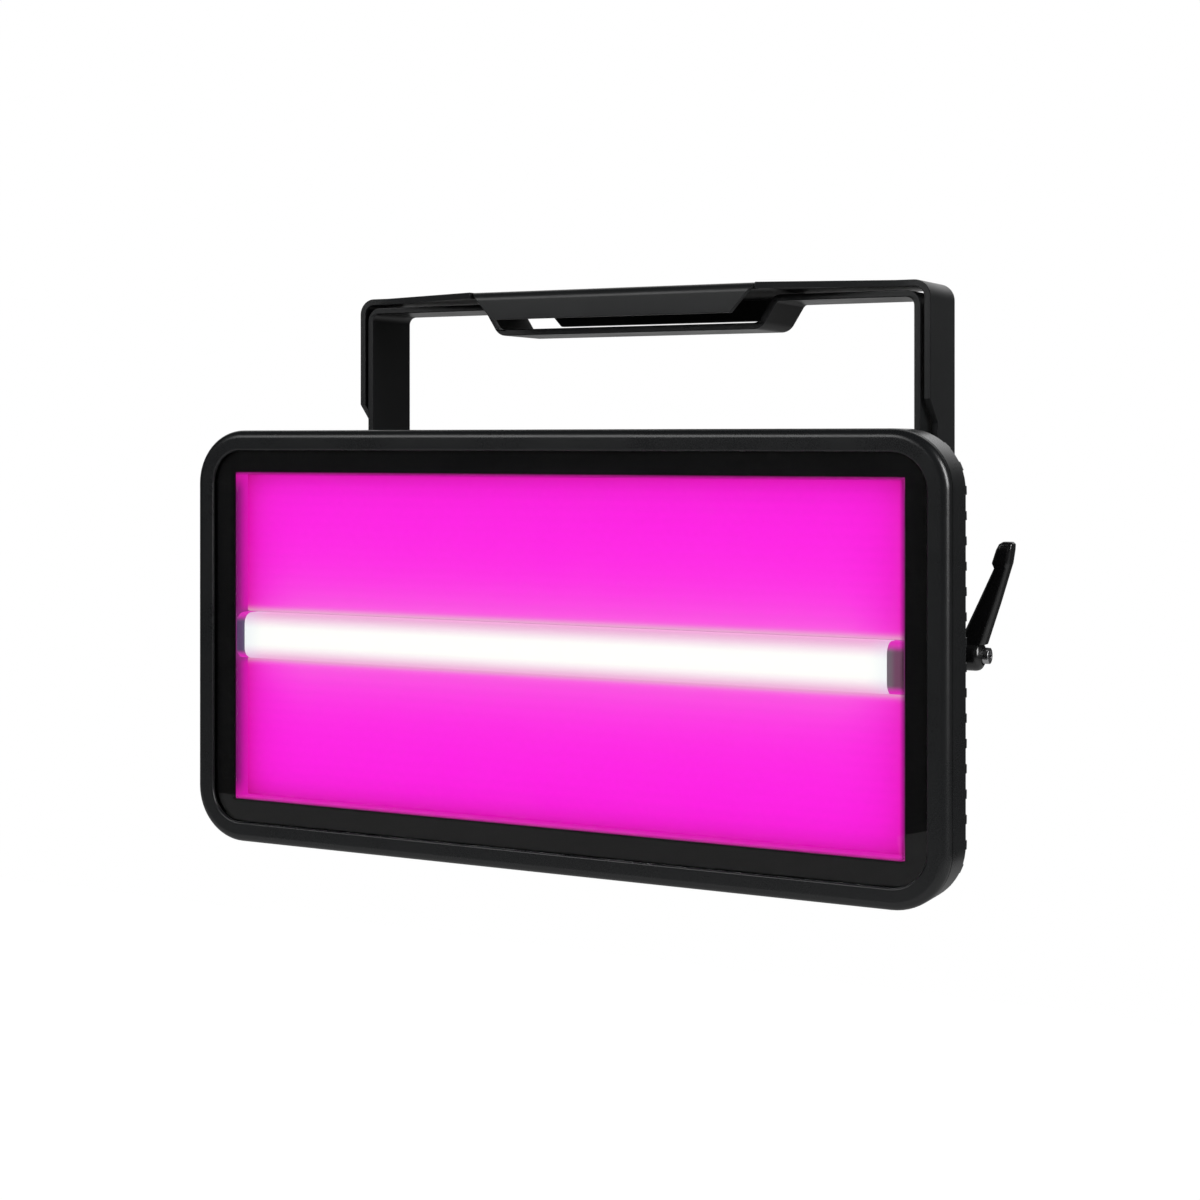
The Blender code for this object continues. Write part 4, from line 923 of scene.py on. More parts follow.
def leg_outline(sizes, drop, jog, fillet, wide, spare=0.005):
    """The side view of an outer leg: its front edge jogs back, and its foot is round."""
    half = sizes.width / 2
    neck, under = half - jog, -sizes.strip - 2 * spare
    side = [(wide, 2 * spare), (wide, under), (half + spare, under - spare)]
    side += [(half + spare, AXIS_Z), (half, AXIS_Z)]
    for a in between(0.0, math.pi + math.acos(neck / half), 36)[1:]:
        side.append(polar(half, -a, (0.0, AXIS_Z)))
    low = -drop - jog - fillet * math.tan(math.pi / 8)
    side += [polar(fillet, a, (-neck - fillet, low)) for a in between(0.0, math.pi / 4, 8)]
    return side + [(-wide, -drop + wide - half), (-wide, 2 * spare)]


class PANEL_LIGHT_OT_outer_bracket(bpy.types.Operator):
    """Make the outer bracket with its clamp plate, flaps and bores"""

    bl_idname = "panel_light.outer_bracket"
    bl_label = "Outer bracket"

    def execute(self, context):
        sizes = context.scene.panel_light.yoke
        low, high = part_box("outer_bracket")
        x, top, wide = high.x - sizes.strip / 2, -sizes.strip / 2, high.y
        spare = 0.005
        foot, far = low.z - spare, high.x + spare
        bend = sizes.outer_bend - sizes.strip / 2
        path = [(-x, foot), (-x, top), (x, top), (x, foot)]
        sheet = plate([strip(path, [bend, bend], sizes.strip)], "Y", -wide - spare, wide + spare)
        made = as_object("outer_yoke_bracket", sheet)
        leg = leg_outline(sizes, drop=0.0614, jog=0.0115, fillet=0.003, wide=wide + spare)
        leg = as_object("leg", plate([leg], "X", -far, far))
        plan = self.plan(sizes, wide, far + spare)
        plan = as_object("plan", plate([plan], "Z", foot - spare, spare))
        combined(made, "INTERSECT", leg, plan)
        combined(made, "UNION", self.flaps(sizes, wide))
        cutters = [rod(far, BORE)]
        for place, radius in [(0.0, 0.0065), (-0.053, 0.0045), (0.053, 0.0045)]:
            hole = plate([circle(radius, (place, 0.0))], "Z", -2 * spare, 2 * spare)
            cutters.append(as_object("hole", hole))
        combined(made, "DIFFERENCE", *cutters)
        piece(made, "yoke_paint", "yoke", "outer_bracket", edge=sizes.edge)
        # The rounding leaves two points a little above the clamp plate's top face
        for vertex in made.data.vertices:
            vertex.co.z = min(vertex.co.z, 0.0)
        return {"FINISHED"}

    @staticmethod
    def plan(sizes, wide, far):
        """The top view: a strip that flares out to the clamp plate."""
        half, flare, plate_end, straight = sizes.width / 2, 0.155, 0.086, 0.005
        quarter = [(far, half), (flare, half), (plate_end, wide), (plate_end, wide - straight)]
        top = quarter + [(-x, y) for x, y in quarter[::-1]]
        return top + [(x, -y) for x, y in top[::-1]]

    @staticmethod
    def flaps(sizes, wide):
        """The clamp plate with its two flaps, whose ends slant inwards as they go down."""
        drop, slant, half, bend = 0.0156, 0.014, 0.086, 0.005 - sizes.strip / 2
        y, top = wide - sizes.strip / 2, -sizes.strip / 2
        path = [(-y, -drop), (-y, top), (y, top), (y, -drop)]
        work = plate([strip(path, [bend, bend], sizes.strip)], "X", -half, half)
        for vertex in work.verts:
            side = math.copysign(1.0, vertex.co.x)
            vertex.co.x = side * (half + slant * vertex.co.z / drop)
        return as_object("flaps", work)


class PANEL_LIGHT_OT_inner_bracket(bpy.types.Operator):
    """Make the inner bracket, whose top bar dips below the clamp plate"""

    bl_idname = "panel_light.inner_bracket"
    bl_label = "Inner bracket"

    def execute(self, context):
        sizes = context.scene.panel_light.yoke
        low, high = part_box("inner_bracket")
        thick, half = sizes.strip, sizes.width / 2
        x, bar, dip, top = high.x - thick / 2, high.z - thick / 2, 0.0146, 0.0885
        lower = top - dip / math.tan(math.radians(58))
        path = [(-x, AXIS_Z), (-x, bar), (-top, bar), (-lower, bar - dip)]
        path += [(-px, pz) for px, pz in path[::-1]]
        corner, over, under = sizes.inner_bend - thick / 2, 0.0045, 0.0065
        bends = [corner, over, under, under, over, corner]
        sheet = plate([strip(path, bends, thick, 10)], "Y", -half, half)
        made = as_object("inner_yoke_bracket", sheet)
        eyes = []
        for low_x in (high.x - thick, -high.x):
            eye = plate([circle(half, (0.0, AXIS_Z), 96)], "X", low_x, low_x + thick)
            eyes.append(as_object("eye", eye))
        combined(made, "UNION", *eyes)
        combined(made, "DIFFERENCE", rod(high.x + 0.01, BORE))
        piece(made, "yoke_paint", "inner_yoke", "inner_bracket", edge=sizes.edge)
        return {"FINISHED"}


class PANEL_LIGHT_OT_washers(bpy.types.Operator):
    """Make the washers and pivot bosses on the tilt axis"""

    bl_idname = "panel_light.washers"
    bl_label = "Washers and bosses"

    def execute(self, context):
        bore = 0.00425
        kinds = [
            ("friction_washer", "black_rubber", "housing", bore),
            ("gap_washer", "zinc_steel", "inner_yoke", bore),
            ("lever_washer", "zinc_steel", "yoke", BORE),
        ]
        for side, word in SIDES:
            for kind, slot, body, radius in kinds:
                node = f"{word}_{kind}"
                low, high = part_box(node)
                ring = stepped(low.x, ((high.y - low.y) / 2, high.x), bore=radius)
                ring = on_axis(softened(ring, 0.0002, 2, closed=True))
                piece((node + "_ring", ring), slot, body, node)
            node = word + "_pivot_boss"
            near, far = ends_of(node)
            boss = stepped(near, (0.008, far - 0.003), (0.019, far), bore=bore)
            boss = on_axis(softened(boss, 0.0004, 2, closed=True), side)
            piece((node + "_turned", boss), "aluminium", "housing", node)
        return {"FINISHED"}


# Levers


class PANEL_LIGHT_OT_levers(bpy.types.Operator):
    """Make the clamping levers: handle, threaded insert, cap screw and spring"""

    bl_idname = "panel_light.levers"
    bl_label = "Clamping levers"

    # Level sections of the arm: height above the axis, start and end past the foot, half depth
    ARM = [
        (0.0056, 0.0027, 0.0166, 0.0056),
        (0.0138, 0.0067, 0.0193, 0.0054),
        (0.0280, 0.0134, 0.0240, 0.0050),
        (0.0451, 0.0214, 0.0292, 0.0047),
        (0.0477, 0.0203, 0.0300, 0.0052),
        (0.0545, 0.0225, 0.0311, 0.0050),
        (0.0575, 0.0240, 0.0314, 0.0043),
        (0.0587, 0.0259, 0.0304, 0.0030),
    ]

    def execute(self, context):
        for side, word in SIDES:
            self.handle(side, word)
            self.metal_parts(side, word)
            self.spring(side, word)
        return {"FINISHED"}

    @staticmethod
    def spring(side, word, lift=0.003):
        """The coil, which the handle squeezes against the screw's head as it is lifted; here it is
        taken over from the frame's mesh and rides with the clamp, unsqueezed.
        """
        node = word + "_lever_spring"
        coil = bmesh.new()
        coil.from_mesh(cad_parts[node].data)
        coil.transform(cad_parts[node].matrix_world)
        coil = piece((word + "_coil_spring", coil), "zinc_steel", word + "_clamp", node)
        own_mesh(coil)

    def handle(self, side, word):
        """The hub, which is open outside for the spring, with the arm that stands on it."""
        node = word + "_lever_handle"
        foot = ends_of(node)[0]
        end, r, web = foot + 0.0153, 0.008, foot + 0.0082
        mouth, seat, hole = 0.0046, 0.0028, 0.005
        outside = [(foot, hole), (foot, r), (end - 0.0034, r), (end - 0.0015, r - 0.0006)]
        outside += [(end, 0.0051), (end, mouth)]
        inside = [(web + 0.001, mouth), (web + 0.001, seat), (web, seat), (web, hole)]
        section = softened(outside, 0.0012, 6) + softened(inside, 0.0003, 2)
        hub = as_object(word + "_clamp_lever", on_axis(section, side, 96))
        arm = as_object("arm", skinned(self.arm_loops(side, foot), closed=False))
        combined(hub, "UNION", arm)
        piece(hub, "lever_plastic", word + "_handle", node, edge=0.0003, limit=38)

    def arm_loops(self, side, foot, between_sections=4, squareness=0.42):
        """Loops between the sections of the arm, eased from one to the next."""
        loops = []
        for one, two in zip(self.ARM, self.ARM[1:]):
            for k in range(between_sections + (two is self.ARM[-1])):
                share = k / between_sections
                z, low, high, deep = (a + (b - a) * share for a, b in zip(one, two))
                loop = []
                for point in circle(1.0, steps=48):
                    u, v = (math.copysign(abs(part) ** squareness, part) for part in point)
                    x = (low + high) / 2 + (high - low) / 2 * u
                    loop.append((side * (foot + x), deep * v, AXIS_Z + z))
                loops.append(loop)
        return loops

    @staticmethod
    def metal_parts(side, word):
        """The cap screw with its six sided recess, and the insert with its stud and collar."""
        node = word + "_cap_screw"
        near, head = ends_of(node)
        screw = stepped(near, (0.0025, head - 0.0048), (0.0042, head))
        screw = on_axis(softened(screw, 0.0004, 4), side)
        screw = as_object(word + "_socket_screw", screw)
        recess = on_axis(stepped(head - 0.0025, (0.0023, head + 0.001)), side, 6)
        combined(screw, "DIFFERENCE", as_object("recess", recess))
        piece(screw, "zinc_steel", word + "_clamp", node, edge=0.00012, limit=50)
        node = word + "_lever_insert"
        near, far = ends_of(node)
        collar, thread, floor = far - 0.0115, 0.00395, far - 0.0103
        core = (0.00675, collar + 0.004)
        section = stepped(near + 0.0008, (thread, collar), core, (0.0047, far), (0.0028, floor))
        section = [(near, 0.0), (near, 0.0031), *section[1:]]
        insert = on_axis(softened(section, 0.0002, 2), side)
        piece((word + "_threaded_insert", insert), "zinc_steel", word + "_clamp", node)


# Rear


class PANEL_LIGHT_OT_rear_shell(bpy.types.Operator):
    """Make the moulded rear shell, with the ribs round its shoulder"""

    bl_idname = "panel_light.rear_shell"
    bl_label = "Rear shell"

    def execute(self, context):
        sizes = context.scene.panel_light.rear
        rim, back = FRAME_DEPTH + 0.001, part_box("rear_housing")[1].y - FACE_Y
        step, seat, wall, end = 0.0395, FRAME_DEPTH + 0.0003, 0.0025, 0.0253
        width, height, taper, corner, lip = 0.316, 0.180, 0.016, 0.014, 0.001
        skirt = softened([(0.0, rim), (0.0, end), (0.012, step)], 0.0006)
        loops = [panel_loop(*place) for place in skirt]
        # The box behind the shoulder, first its outside and then its inside
        for inset, places in ((0.0, (step, back)), (wall, (back, step - wall))):
            for depth in places:
                tall = height - (taper if depth == back else 0.0) - 2 * inset
                loops.append(box_loop(width - 2 * inset, tall, corner - inset, depth))
        inside = [(0.0135, step - wall), (wall, end - 0.001), (wall, seat), (lip, seat), (lip, rim)]
        loops += [panel_loop(*place) for place in inside]
        shell = as_object("rear_shell", skinned(loops))
        combined(shell, "DIFFERENCE", rod(0.168, 0.0083))
        piece(shell, "housing_plastic", "housing", "rear_housing", edge=0.0003, limit=25)
        self.ribs(sizes, end, step)
        return {"FINISHED"}

    @staticmethod
    def ribs(sizes, end, step):
        """Ribs that run back over the shoulder: local X along the rim, local Z across it."""
        front, back = end - 0.0004, step - 0.0005
        outline = [(front, 0.0002), (end + sizes.rib_reach, 0.0002), (back, 0.009), (back, 0.0118)]
        outline += [(step - 0.0012, 0.0125), (front, 0.0016)]
        outline = softened(outline, 0.0006, 3, closed=True)
        half = sizes.rib_width / 2
        # The path runs so that local Z points out of the panel
        rib = as_object("rib", plate([[(y, -inset) for y, inset in outline]], "X", -half, half))
        rounded_edges(rib, 0.0007, 50, clamp=True)
        path = [(FRONT_HIGH.x, FACE_Y, MIDDLE_Z), *panel_loop(0.0, 0.0)[::-1]]
        slot = "housing_plastic"
        made = along_path("shoulder_ribs", path, rib, sizes.rib_count, slot)
        piece(made, slot, "housing", sharp=50)


class PANEL_LIGHT_OT_rear_cover(bpy.types.Operator):
    """Make the rear cover with its screws, and the safety eye"""

    bl_idname = "panel_light.rear_cover"
    bl_label = "Rear cover"

    def execute(self, context):
        low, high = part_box("rear_cover")
        # Openings for the fans, the display, the buttons, the sockets and the fuse
        holes = [circle(0.038, (x, 0.0), 96) for x in (-0.100, 0.100)]
        holes.append(rounded(0.0626, 0.0206, 0.001, (0.0, 0.052)))
        holes += [circle(0.0048, (0.018 * (i - 1.5), 0.026)) for i in range(4)]
        holes += [circle(0.0121, (x, z)) for x in (-0.017, 0.017) for z in (-0.010, -0.048)]
        holes.append(circle(0.0065, (0.044, -0.048)))
        outline = rounded(high.x - low.x, high.z - low.z, 0.0135)
        cover = facing([outline, *holes], low.y, high.y)
        piece(("back_cover", cover), "housing_plastic", "housing", "rear_cover", edge=0.0003)
        row = 0.075
        places = [(x, z) for x in (-0.151, 0.151) for z in (-row, 0.0, row)]
        places += [(x, z) for x in (-0.052, 0.052) for z in (-row, row)]
        screws("cover_screws", places, COVER_Y, 0.0027)
        self.eye()
        return {"FINISHED"}

    @staticmethod
    def eye():
        """A bent bar on a foot with two screws."""
        low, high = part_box("safety_eye")
        radius, z = 0.009, (low.z + high.z) / 2
        root, seat = low.y + 0.001, low.y + 0.002
        foot = facing([rounded(0.030, 0.013, 0.003, (0.0, z - MIDDLE_Z))], low.y, seat)
        bow = [polar(radius, a, (0.0, high.y - 0.011)) for a in between(0.0, math.pi, 24)]
        curve = line([(x, y, z) for x, y in [(radius, root), *bow, (-radius, root)]])
        curve.bevel_depth, curve.bevel_resolution, curve.use_fill_caps = 0.002, 6, True
        bar = bpy.data.objects.new("bar", curve)
        work = bmesh.new()
        work.from_mesh(bpy.data.meshes.new_from_object(bar))
        bpy.data.objects.remove(bar)
        bmesh.ops.remove_doubles(work, verts=work.verts, dist=1e-6)
        made = combined(as_object("safety_loop", foot), "UNION", as_object("bar", work))
        piece(made, "zinc_steel", "housing", "safety_eye", edge=0.0003, limit=50)
        screws("eye_screws", [(x, z - MIDDLE_Z) for x in (-0.0125, 0.0125)], seat, 0.0016)


def screws(name, places, y, radius):
    """Small pan head screws with a six lobe recess, on a face towards the rear."""
    head = 0.55 * radius
    section = [(-0.0003, 0.0), (-0.0003, radius), (0.4 * head, radius), (head, 0.62 * radius)]
    section = softened(section + [(head, 0.0)], 0.3 * radius, 3)
    screw = as_object("screw", turned(section, lambda along, u, v: (u, along, v), 24))
    angles = between(0.0, math.tau, 24)[:-1]
    lobes = [polar(radius * (0.42 + 0.07 * math.cos(6 * a)), a) for a in angles]
    recess = plate([lobes], "Y", 0.35 * head, 2 * head)
    combined(screw, "DIFFERENCE", as_object("recess", recess))
    spots = [(x, y, z + MIDDLE_Z) for x, z in places]
    piece(at_places(name, screw, spots, "zinc_steel"), "zinc_steel", "housing", sharp=50)


class PANEL_LIGHT_OT_controls(bpy.types.Operator):
    """Make the display window and the four menu buttons"""

    bl_idname = "panel_light.controls"
    bl_label = "Display and buttons"

    def execute(self, context):
        low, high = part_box("display_window")
        size = (high.x - low.x, high.z - low.z)
        middle = (0.0, (low.z + high.z) / 2 - MIDDLE_Z)
        work = facing([rounded(*size, 0.001, middle)], low.y, high.y)
        piece(("display_glass", work), "display_window", "housing", "display_window", edge=0.00025)
        outlines = [rounded(0.068, 0.026, 0.003, middle), rounded(0.0595, 0.0175, 0.0008, middle)]
        work = facing(outlines, high.y - 0.0001, high.y + 0.0006)
        piece(("display_surround", work), "black_plastic", "housing", edge=0.0002)
        radius, dish = 0.0045, 0.0004
        for key in ("mode", "up", "down", "enter"):
            node = key + "_button"
            low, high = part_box(node)
            collar = ((high.x - low.x) / 2, COVER_Y - 0.0018)
            section = stepped(low.y, collar, (radius, high.y - 0.0003))[:-1]
            section += [(high.y, radius - 0.0008), (high.y - dish, 0.0018), (high.y - dish, 0.0)]
            work = to_rear(softened(section, 0.0005, 4), *middle_of(node))
            piece((key + "_push_button", work), "button_plastic", key + "_key", node)
        return {"FINISHED"}


class PANEL_LIGHT_OT_sockets(bpy.types.Operator):
    """Make the power and data sockets, the latch, and the fuse with its cap"""

    bl_idname = "panel_light.sockets"
    bl_label = "Sockets and fuse"

    # Outer and inner radius of the cups, and their flanges' thickness
    CUP, MOUTH, FLANGE = 0.0118, 0.0095, 0.002

    def execute(self, context):
        for way, slot in (("in", "blue_plastic"), ("out", "grey_plastic")):
            node = f"power_{way}_socket"
            x, z = middle_of(node)
            spots = [(x + aside, z) for aside in (-0.005, 0.0, 0.005)]
            self.cup(node, slot, [rounded(0.0014, 0.0055, 0.0003, spot, 3) for spot in spots])
        node = "dmx_in_socket"
        self.cup(node, "zinc_steel", self.contacts(node, 0.0012))
        self.data_out()
        self.fuse()
        return {"FINISHED"}

    @staticmethod
    def contacts(node, radius, steps=20):
        """The outlines of the three round contacts of a data socket."""
        angles = [math.radians(degrees) for degrees in (30, 150, 270)]
        return [circle(radius, polar(0.0045, a, middle_of(node)), steps) for a in angles]

    @staticmethod
    def flange(node, hole, thick):
        """A flange with two screws at its corners."""
        x, z = middle_of(node)
        aside, up = 0.0098, 0.0122
        screws(node + "_screws", [(x - aside, z + up), (x + aside, z - up)], SEAT_Y + thick, 0.0021)
        outlines = [rounded(0.026, 0.031, 0.003, (x, z)), circle(hole, (x, z))]
        return as_object("flange", facing(outlines, SEAT_Y, SEAT_Y + thick))

    def cup(self, node, slot, pins):
        """A socket with a round cup that is open to the rear."""
        x, z = middle_of(node)
        low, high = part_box(node)
        mouth, floor = high.y, high.y - 0.014
        section = stepped(low.y, (self.CUP, mouth), (self.MOUTH, floor))
        made = as_object(node + "_body", to_rear(softened(section, 0.0003, 3), x, z))
        contacts = as_object("contacts", facing(pins, floor - 0.001, mouth - 0.0065))
        combined(made, "UNION", self.flange(node, 0.0106, self.FLANGE), contacts)
        piece(made, slot, "housing", node, edge=0.0002, limit=50)
        key = facing([rounded(0.0022, 0.0012, 0.0003, (x, z - 0.0090), 2)], floor, mouth - 0.001)
        piece((node + "_key", key), slot, "housing", edge=0.0001)

    def data_out(self):
        """The data out socket: its front face on a black disc, and the latch in a pocket."""
        node, latch = "dmx_out_socket", "dmx_out_latch"
        low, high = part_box(node)
        face, past = high.y - 0.001, high.y + 0.001
        made = to_rear(stepped(low.y, (self.CUP, face)), *middle_of(node))
        made = as_object(node + "_body", made)
        combined(made, "UNION", self.flange(node, self.MOUTH, high.y - SEAT_Y))
        holes = facing(self.contacts(node, 0.0013), high.y - 0.013, past)
        pocket = rounded(0.009, 0.0034, 0.0004, middle_of(latch), 4)
        pocket = as_object("pocket", facing([pocket], SEAT_Y + 0.0006, past))
        combined(made, "DIFFERENCE", as_object("holes", holes), pocket)
        piece(made, "zinc_steel", "housing", node, edge=0.0002, limit=50)
        tab = rounded(0.0084, 0.0028, 0.0004, middle_of(latch), 4)
        tab = facing([tab], *(corner.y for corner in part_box(latch)))
        piece(("data_latch", tab), "zinc_steel", "latch", latch, edge=0.0003)
        outlines = [circle(0.0092, middle_of(node)), *self.contacts(node, 0.0014)]
        disc = facing(outlines, face, face + 0.0006)
        piece(("data_out_face", disc), "black_plastic", "housing", edge=0.00015)

    @staticmethod
    def fuse():
        """The fuse holder and its cap, which has a slot for a coin."""
        place = middle_of("fuse_holder")
        low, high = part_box("fuse_holder")
        section = stepped(low.y, (0.0062, SEAT_Y), (0.0085, high.y), (0.0038, low.y + 0.002))
        work = to_rear(softened(section, 0.0003, 3), *place)
        piece(("fuse_socket", work), "black_plastic", "housing", "fuse_holder")
        low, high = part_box("fuse_cap")
        section = stepped(low.y, (0.0035, high.y - 0.0054), (0.0065, high.y))
        cap = as_object("fuse_knob", to_rear(softened(section, 0.0005, 4), *place))
        slot = facing([rounded(0.009, 0.0014, 0.0002, place, 2)], high.y - 0.0012, high.y + 0.001)
        combined(cap, "DIFFERENCE", as_object("slot", slot))
        piece(cap, "black_plastic", "fuse_lid", "fuse_cap", edge=0.00015, limit=50)


class PANEL_LIGHT_OT_fans(bpy.types.Operator):
    """Make both fans: frame, guard, screws and bladed rotor"""

    bl_idname = "panel_light.fans"
    bl_label = "Fans"

    def execute(self, context):
        for _, word in SIDES:
            self.frame(word)
            self.rotor(word, context.scene.panel_light.rear.blade_count)
        return {"FINISHED"}

    @staticmethod
    def frame(word, bore=0.038, rim=0.0008):
        """The frame with its four spokes, and the guard with its rings of openings."""
        node = word + "_fan_frame"
        low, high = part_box(node)
        at, size = ((low.x + high.x) / 2, 0.0), high.x - low.x
        outlines = [rounded(size, size, 0.004, at), circle(bore, at, 96)]
        made = as_object(node + "_body", facing(outlines, low.y, high.y))
        spokes = [circle(bore + rim, at, 96)]
        spokes += [sector(0.014, bore - rim, 0.002, i, at, root=1.2) for i in range(4)]
        spokes = as_object("spokes", facing(spokes, low.y + 0.0005, low.y + 0.0028))
        combined(made, "UNION", spokes)
        piece(made, "black_plastic", "housing", node, edge=0.0003, limit=50)
        node = word + "_fan_guard"
        low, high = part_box(node)
        step = (bore - 0.008) / 4
        rings = [(0.0095 + step * i, 0.0077 + step * (i + 1)) for i in range(4)]
        openings = [sector(a, b, 0.0018, i, at) for a, b in rings for i in range(4)]
        guard = facing([rounded(size, size, 0.006, at), *openings], low.y, high.y)
        piece((node + "_plate", guard), "black_plastic", "housing", node, edge=0.0002)
        aside = size / 2 - 0.005
        spots = [(at[0] + sx * aside, sz * aside) for sx in (-1, 1) for sz in (-1, 1)]
        screws(word + "_guard_screws", spots, high.y, 0.0028)

    def rotor(self, word, count):
        """The hub with its blades."""
        node = word + "_fan_rotor"
        low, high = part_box(node)
        x, near, far, r = (low.x + high.x) / 2, COVER_Y - 0.0187, COVER_Y - 0.004, 0.015
        section = [(near, 0.0), (near, r), (far - 0.001, r), (far, r - 0.001), (far, 0.0)]
        hub = as_object(word + "_fan_wheel", to_rear(softened(section, 0.0006, 3), x, 0.0))
        middle, slot = Vector((x, (near + far) / 2, MIDDLE_Z)), "black_plastic"
        blades = round_axis(word + "_blades", as_object("blade", self.blade()), count, middle, slot)
        combined(hub, "UNION", blades)
        piece(hub, slot, word + "_fan", node)

    @staticmethod
    def blade(stations=7):
        """A curved blade: pitched less towards its tip, and swept."""
        loops = []
        for t in between(0.0, 1.0, stations - 1):
            radius, half = 0.0135 + t * 0.0225, 0.0055 + t * 0.003
            pitch, sweep = math.radians(38 - 8 * t), 0.12 * t * t
            out = Vector((math.cos(sweep), 0.0, math.sin(sweep)))
            around = Vector((-math.sin(sweep), 0.0, math.cos(sweep)))
            chord = around * math.cos(pitch) + Vector((0.0, math.sin(pitch), 0.0))
            normal = Vector((0.0, math.cos(pitch), 0.0)) - around * math.sin(pitch)
            loop = []
            for u, v in circle(1.0, steps=20):
                bulge = 0.0007 * v + 0.0012 * (1 - u**2) - 0.0006
                loop.append(out * radius + chord * (half * u) + normal * bulge)
            loops.append(loop)
        return skinned(loops, closed=False)


# Studio and camera


class PANEL_LIGHT_OT_studio(bpy.types.Operator):
    """Make the floor, the soft lights and the white surroundings"""

    bl_idname = "panel_light.studio"
    bl_label = "Studio"

    def execute(self, context):
        sizes = context.scene.panel_light.studio
        self.floor(sizes)
        self.surroundings(context)
        target, corner = (0.0, -0.1, -0.15), (0.2157, -0.1189, -0.19)
        self.softbox("upper_softbox", (-0.95, -1.95, 0.85), target, (1.5, 0.9), sizes.upper)
        self.softbox("side_softbox", (2.26, -0.41, 0.62), corner, (0.8, 1.35), sizes.side)
        fill = self.softbox("front_fill", (-0.9, -2.6, 0.9), target, (1.6, 1.6), sizes.fill)
        fill.visible_glossy = False
        return {"FINISHED"}

    @staticmethod
    def floor(sizes):
        """A pale floor that looks white to the camera, and keeps the shadow."""
        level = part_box("front_bezel")[0].z - sizes.floor_drop
        # The glass mirrors the floor's front edge, which steps back on the left
        outline = [(-1.08, -3.74), (-1.17, -3.98), (-1.13, -4.08), (-1.02, -4.12), (4.6, -4.12)]
        outline += [(4.6, 2.4), (-4.6, 2.4), (-4.6, -3.74)]
        work = bmesh.new()
        work.faces.new([work.verts.new((x, y, level)) for x, y in outline])
        floor = as_object("studio_floor", work)
        look = Look("studio floor")
        speck = look.noise(3.0, 2.0)
        pale = look.add("BsdfDiffuse", None, {"Color": look.mix(speck, (0.35,) * 3, (0.38,) * 3)})
        white = look.add("Emission", None, {"Color": (1.0, 1.0, 1.0, 1.0), "Strength": 1.1})
        seen = look.add("LightPath", output="Is Camera Ray")
        shader = look.add("MixShader", None, {0: seen * 0.9, 1: pale, 2: white})
        look.add("OutputMaterial", None, {"Surface": shader})
        floor.data.materials.append(look.made)

    @staticmethod
    def surroundings(context):
        """White behind the light for the camera and for gloss, dim in front."""
        look = Look("studio", "worlds", "Generated")
        context.scene.world = look.made
        toward = look.axis("Y") * 0.86 - look.axis("X") * 0.36 + look.axis("Z") * 0.36
        behind = toward.step(0.80, 0.93)
        seen = look.add("LightPath", output="Is Camera Ray")
        gloss = look.add("LightPath", output="Is Glossy Ray")
        level = gloss * (0.04 + behind * 0.96) + (1.0 - gloss) * 0.55
        level = seen + (1.0 - seen) * level
        back = look.add("Background", None, {"Color": (1.0, 1.0, 1.0, 1.0), "Strength": level})
        look.add("OutputWorld", None, {"Surface": back})

    @staticmethod
    def softbox(name, place, target, size, radiance):
        light = bpy.data.lights.new(name, "AREA")
        light.shape, (light.size, light.size_y) = "RECTANGLE", size
        light.energy = radiance * math.pi * size[0] * size[1]
        made = bpy.data.objects.new(name, light)
        made.location = place
        way = Vector(target) - Vector(place)
        made.rotation_euler = way.to_track_quat("-Z", "Y").to_euler()
        bpy.context.scene.collection.objects.link(made)
        return made


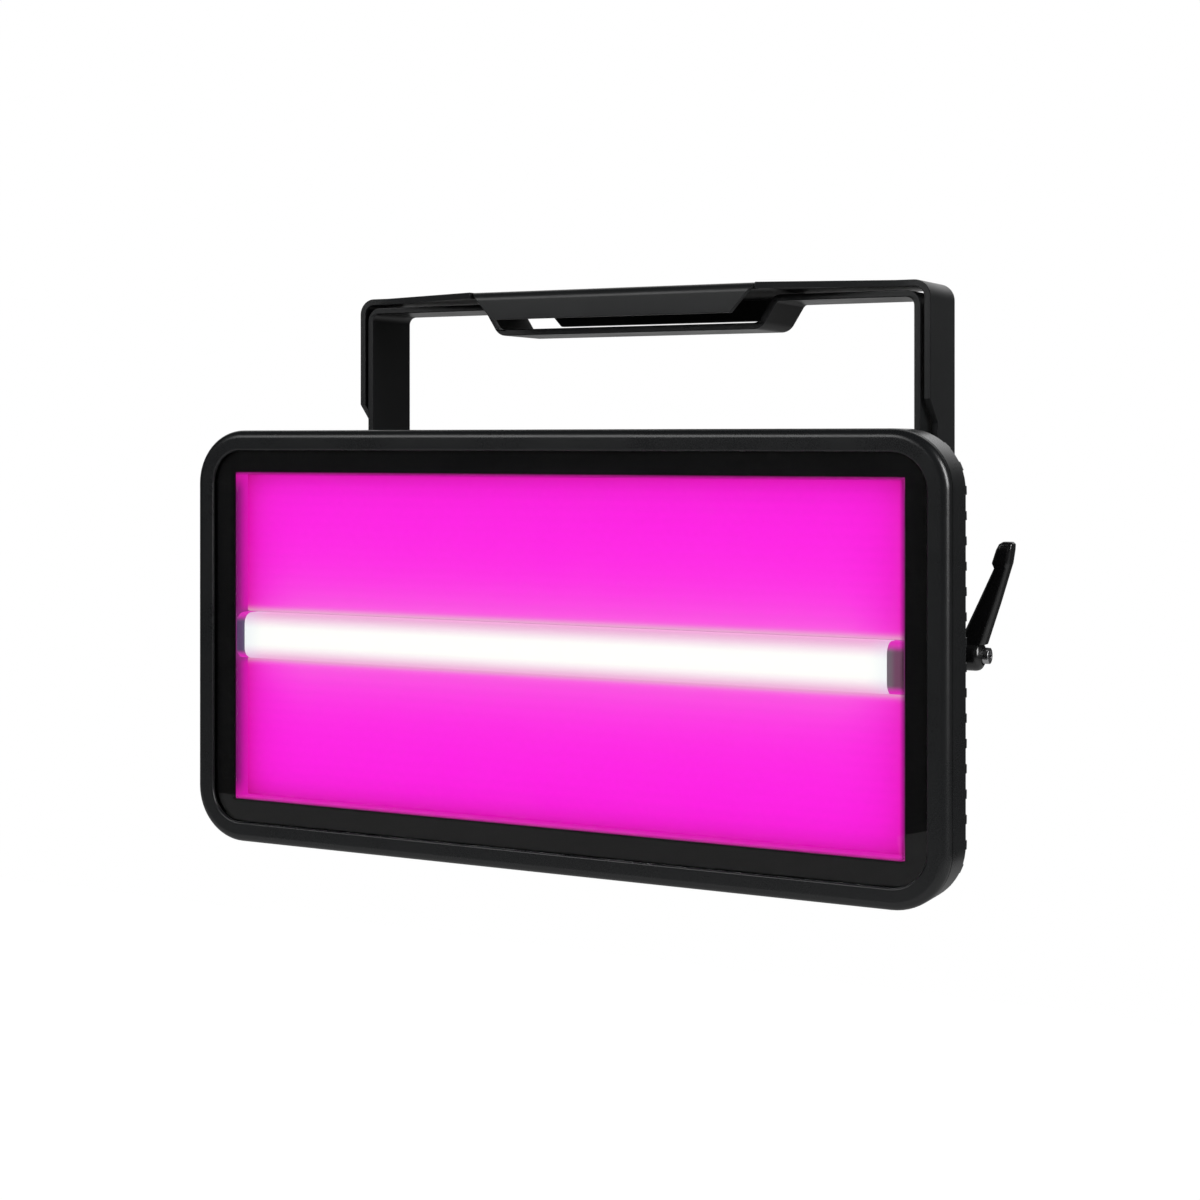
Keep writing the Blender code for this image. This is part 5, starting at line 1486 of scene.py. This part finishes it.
class PANEL_LIGHT_OT_camera(bpy.types.Operator):
    """Set the camera at the photograph's viewing angle"""

    bl_idname = "panel_light.camera"
    bl_label = "Camera"

    def execute(self, context):
        camera = bpy.data.cameras.new("camera")
        camera.lens, camera.sensor_width = 63.498, 36.0
        camera.shift_y = -0.1313
        camera.clip_start, camera.clip_end = 0.05, 50.0
        made = bpy.data.objects.new("camera", camera)
        made.location = (0.52006, -1.05532, -0.08351)
        made.rotation_euler = (math.pi / 2, 0.0, math.radians(27.37))
        context.scene.collection.objects.link(made)
        context.scene.camera = made
        context.scene.view_settings.view_transform = "Standard"
        return {"FINISHED"}


class PANEL_LIGHT_PT_pieces(bpy.types.Panel):
    """Lists the pieces of the panel light and their sizes"""

    bl_label = "Panel Light"
    bl_idname = "PANEL_LIGHT_PT_pieces"
    bl_space_type = "VIEW_3D"
    bl_region_type = "UI"
    bl_category = "Panel Light"

    def draw(self, context):
        for operator in OPERATORS:
            self.layout.operator(operator.bl_idname)
        groups = context.scene.panel_light
        for group in ("front", "glow", "rear", "yoke", "studio"):
            box = self.layout.box()
            box.label(text=group.capitalize())
            for key in getattr(groups, group).__annotations__:
                box.prop(getattr(groups, group), key)


OPERATORS = [
    PANEL_LIGHT_OT_camera,
    PANEL_LIGHT_OT_studio,
    PANEL_LIGHT_OT_front_frame,
    PANEL_LIGHT_OT_window,
    PANEL_LIGHT_OT_light_source,
    PANEL_LIGHT_OT_boards,
    PANEL_LIGHT_OT_outer_bracket,
    PANEL_LIGHT_OT_inner_bracket,
    PANEL_LIGHT_OT_washers,
    PANEL_LIGHT_OT_levers,
    PANEL_LIGHT_OT_rear_shell,
    PANEL_LIGHT_OT_rear_cover,
    PANEL_LIGHT_OT_controls,
    PANEL_LIGHT_OT_sockets,
    PANEL_LIGHT_OT_fans,
]
GROUPS = [
    FrontSettings,
    GlowSettings,
    RearSettings,
    YokeSettings,
    StudioSettings,
    PanelLightSettings,
]


def register():
    for each in GROUPS + OPERATORS + [PANEL_LIGHT_PT_pieces]:
        bpy.utils.register_class(each)
    bpy.types.Scene.panel_light = PointerProperty(type=PanelLightSettings)


def unregister():
    del bpy.types.Scene.panel_light
    for each in reversed(GROUPS + OPERATORS + [PANEL_LIGHT_PT_pieces]):
        bpy.utils.unregister_class(each)


def main():
    register()
    for operator in OPERATORS:
        group, name = operator.bl_idname.split(".")
        getattr(getattr(bpy.ops, group), name)()


if __name__ == "__main__":
    main()
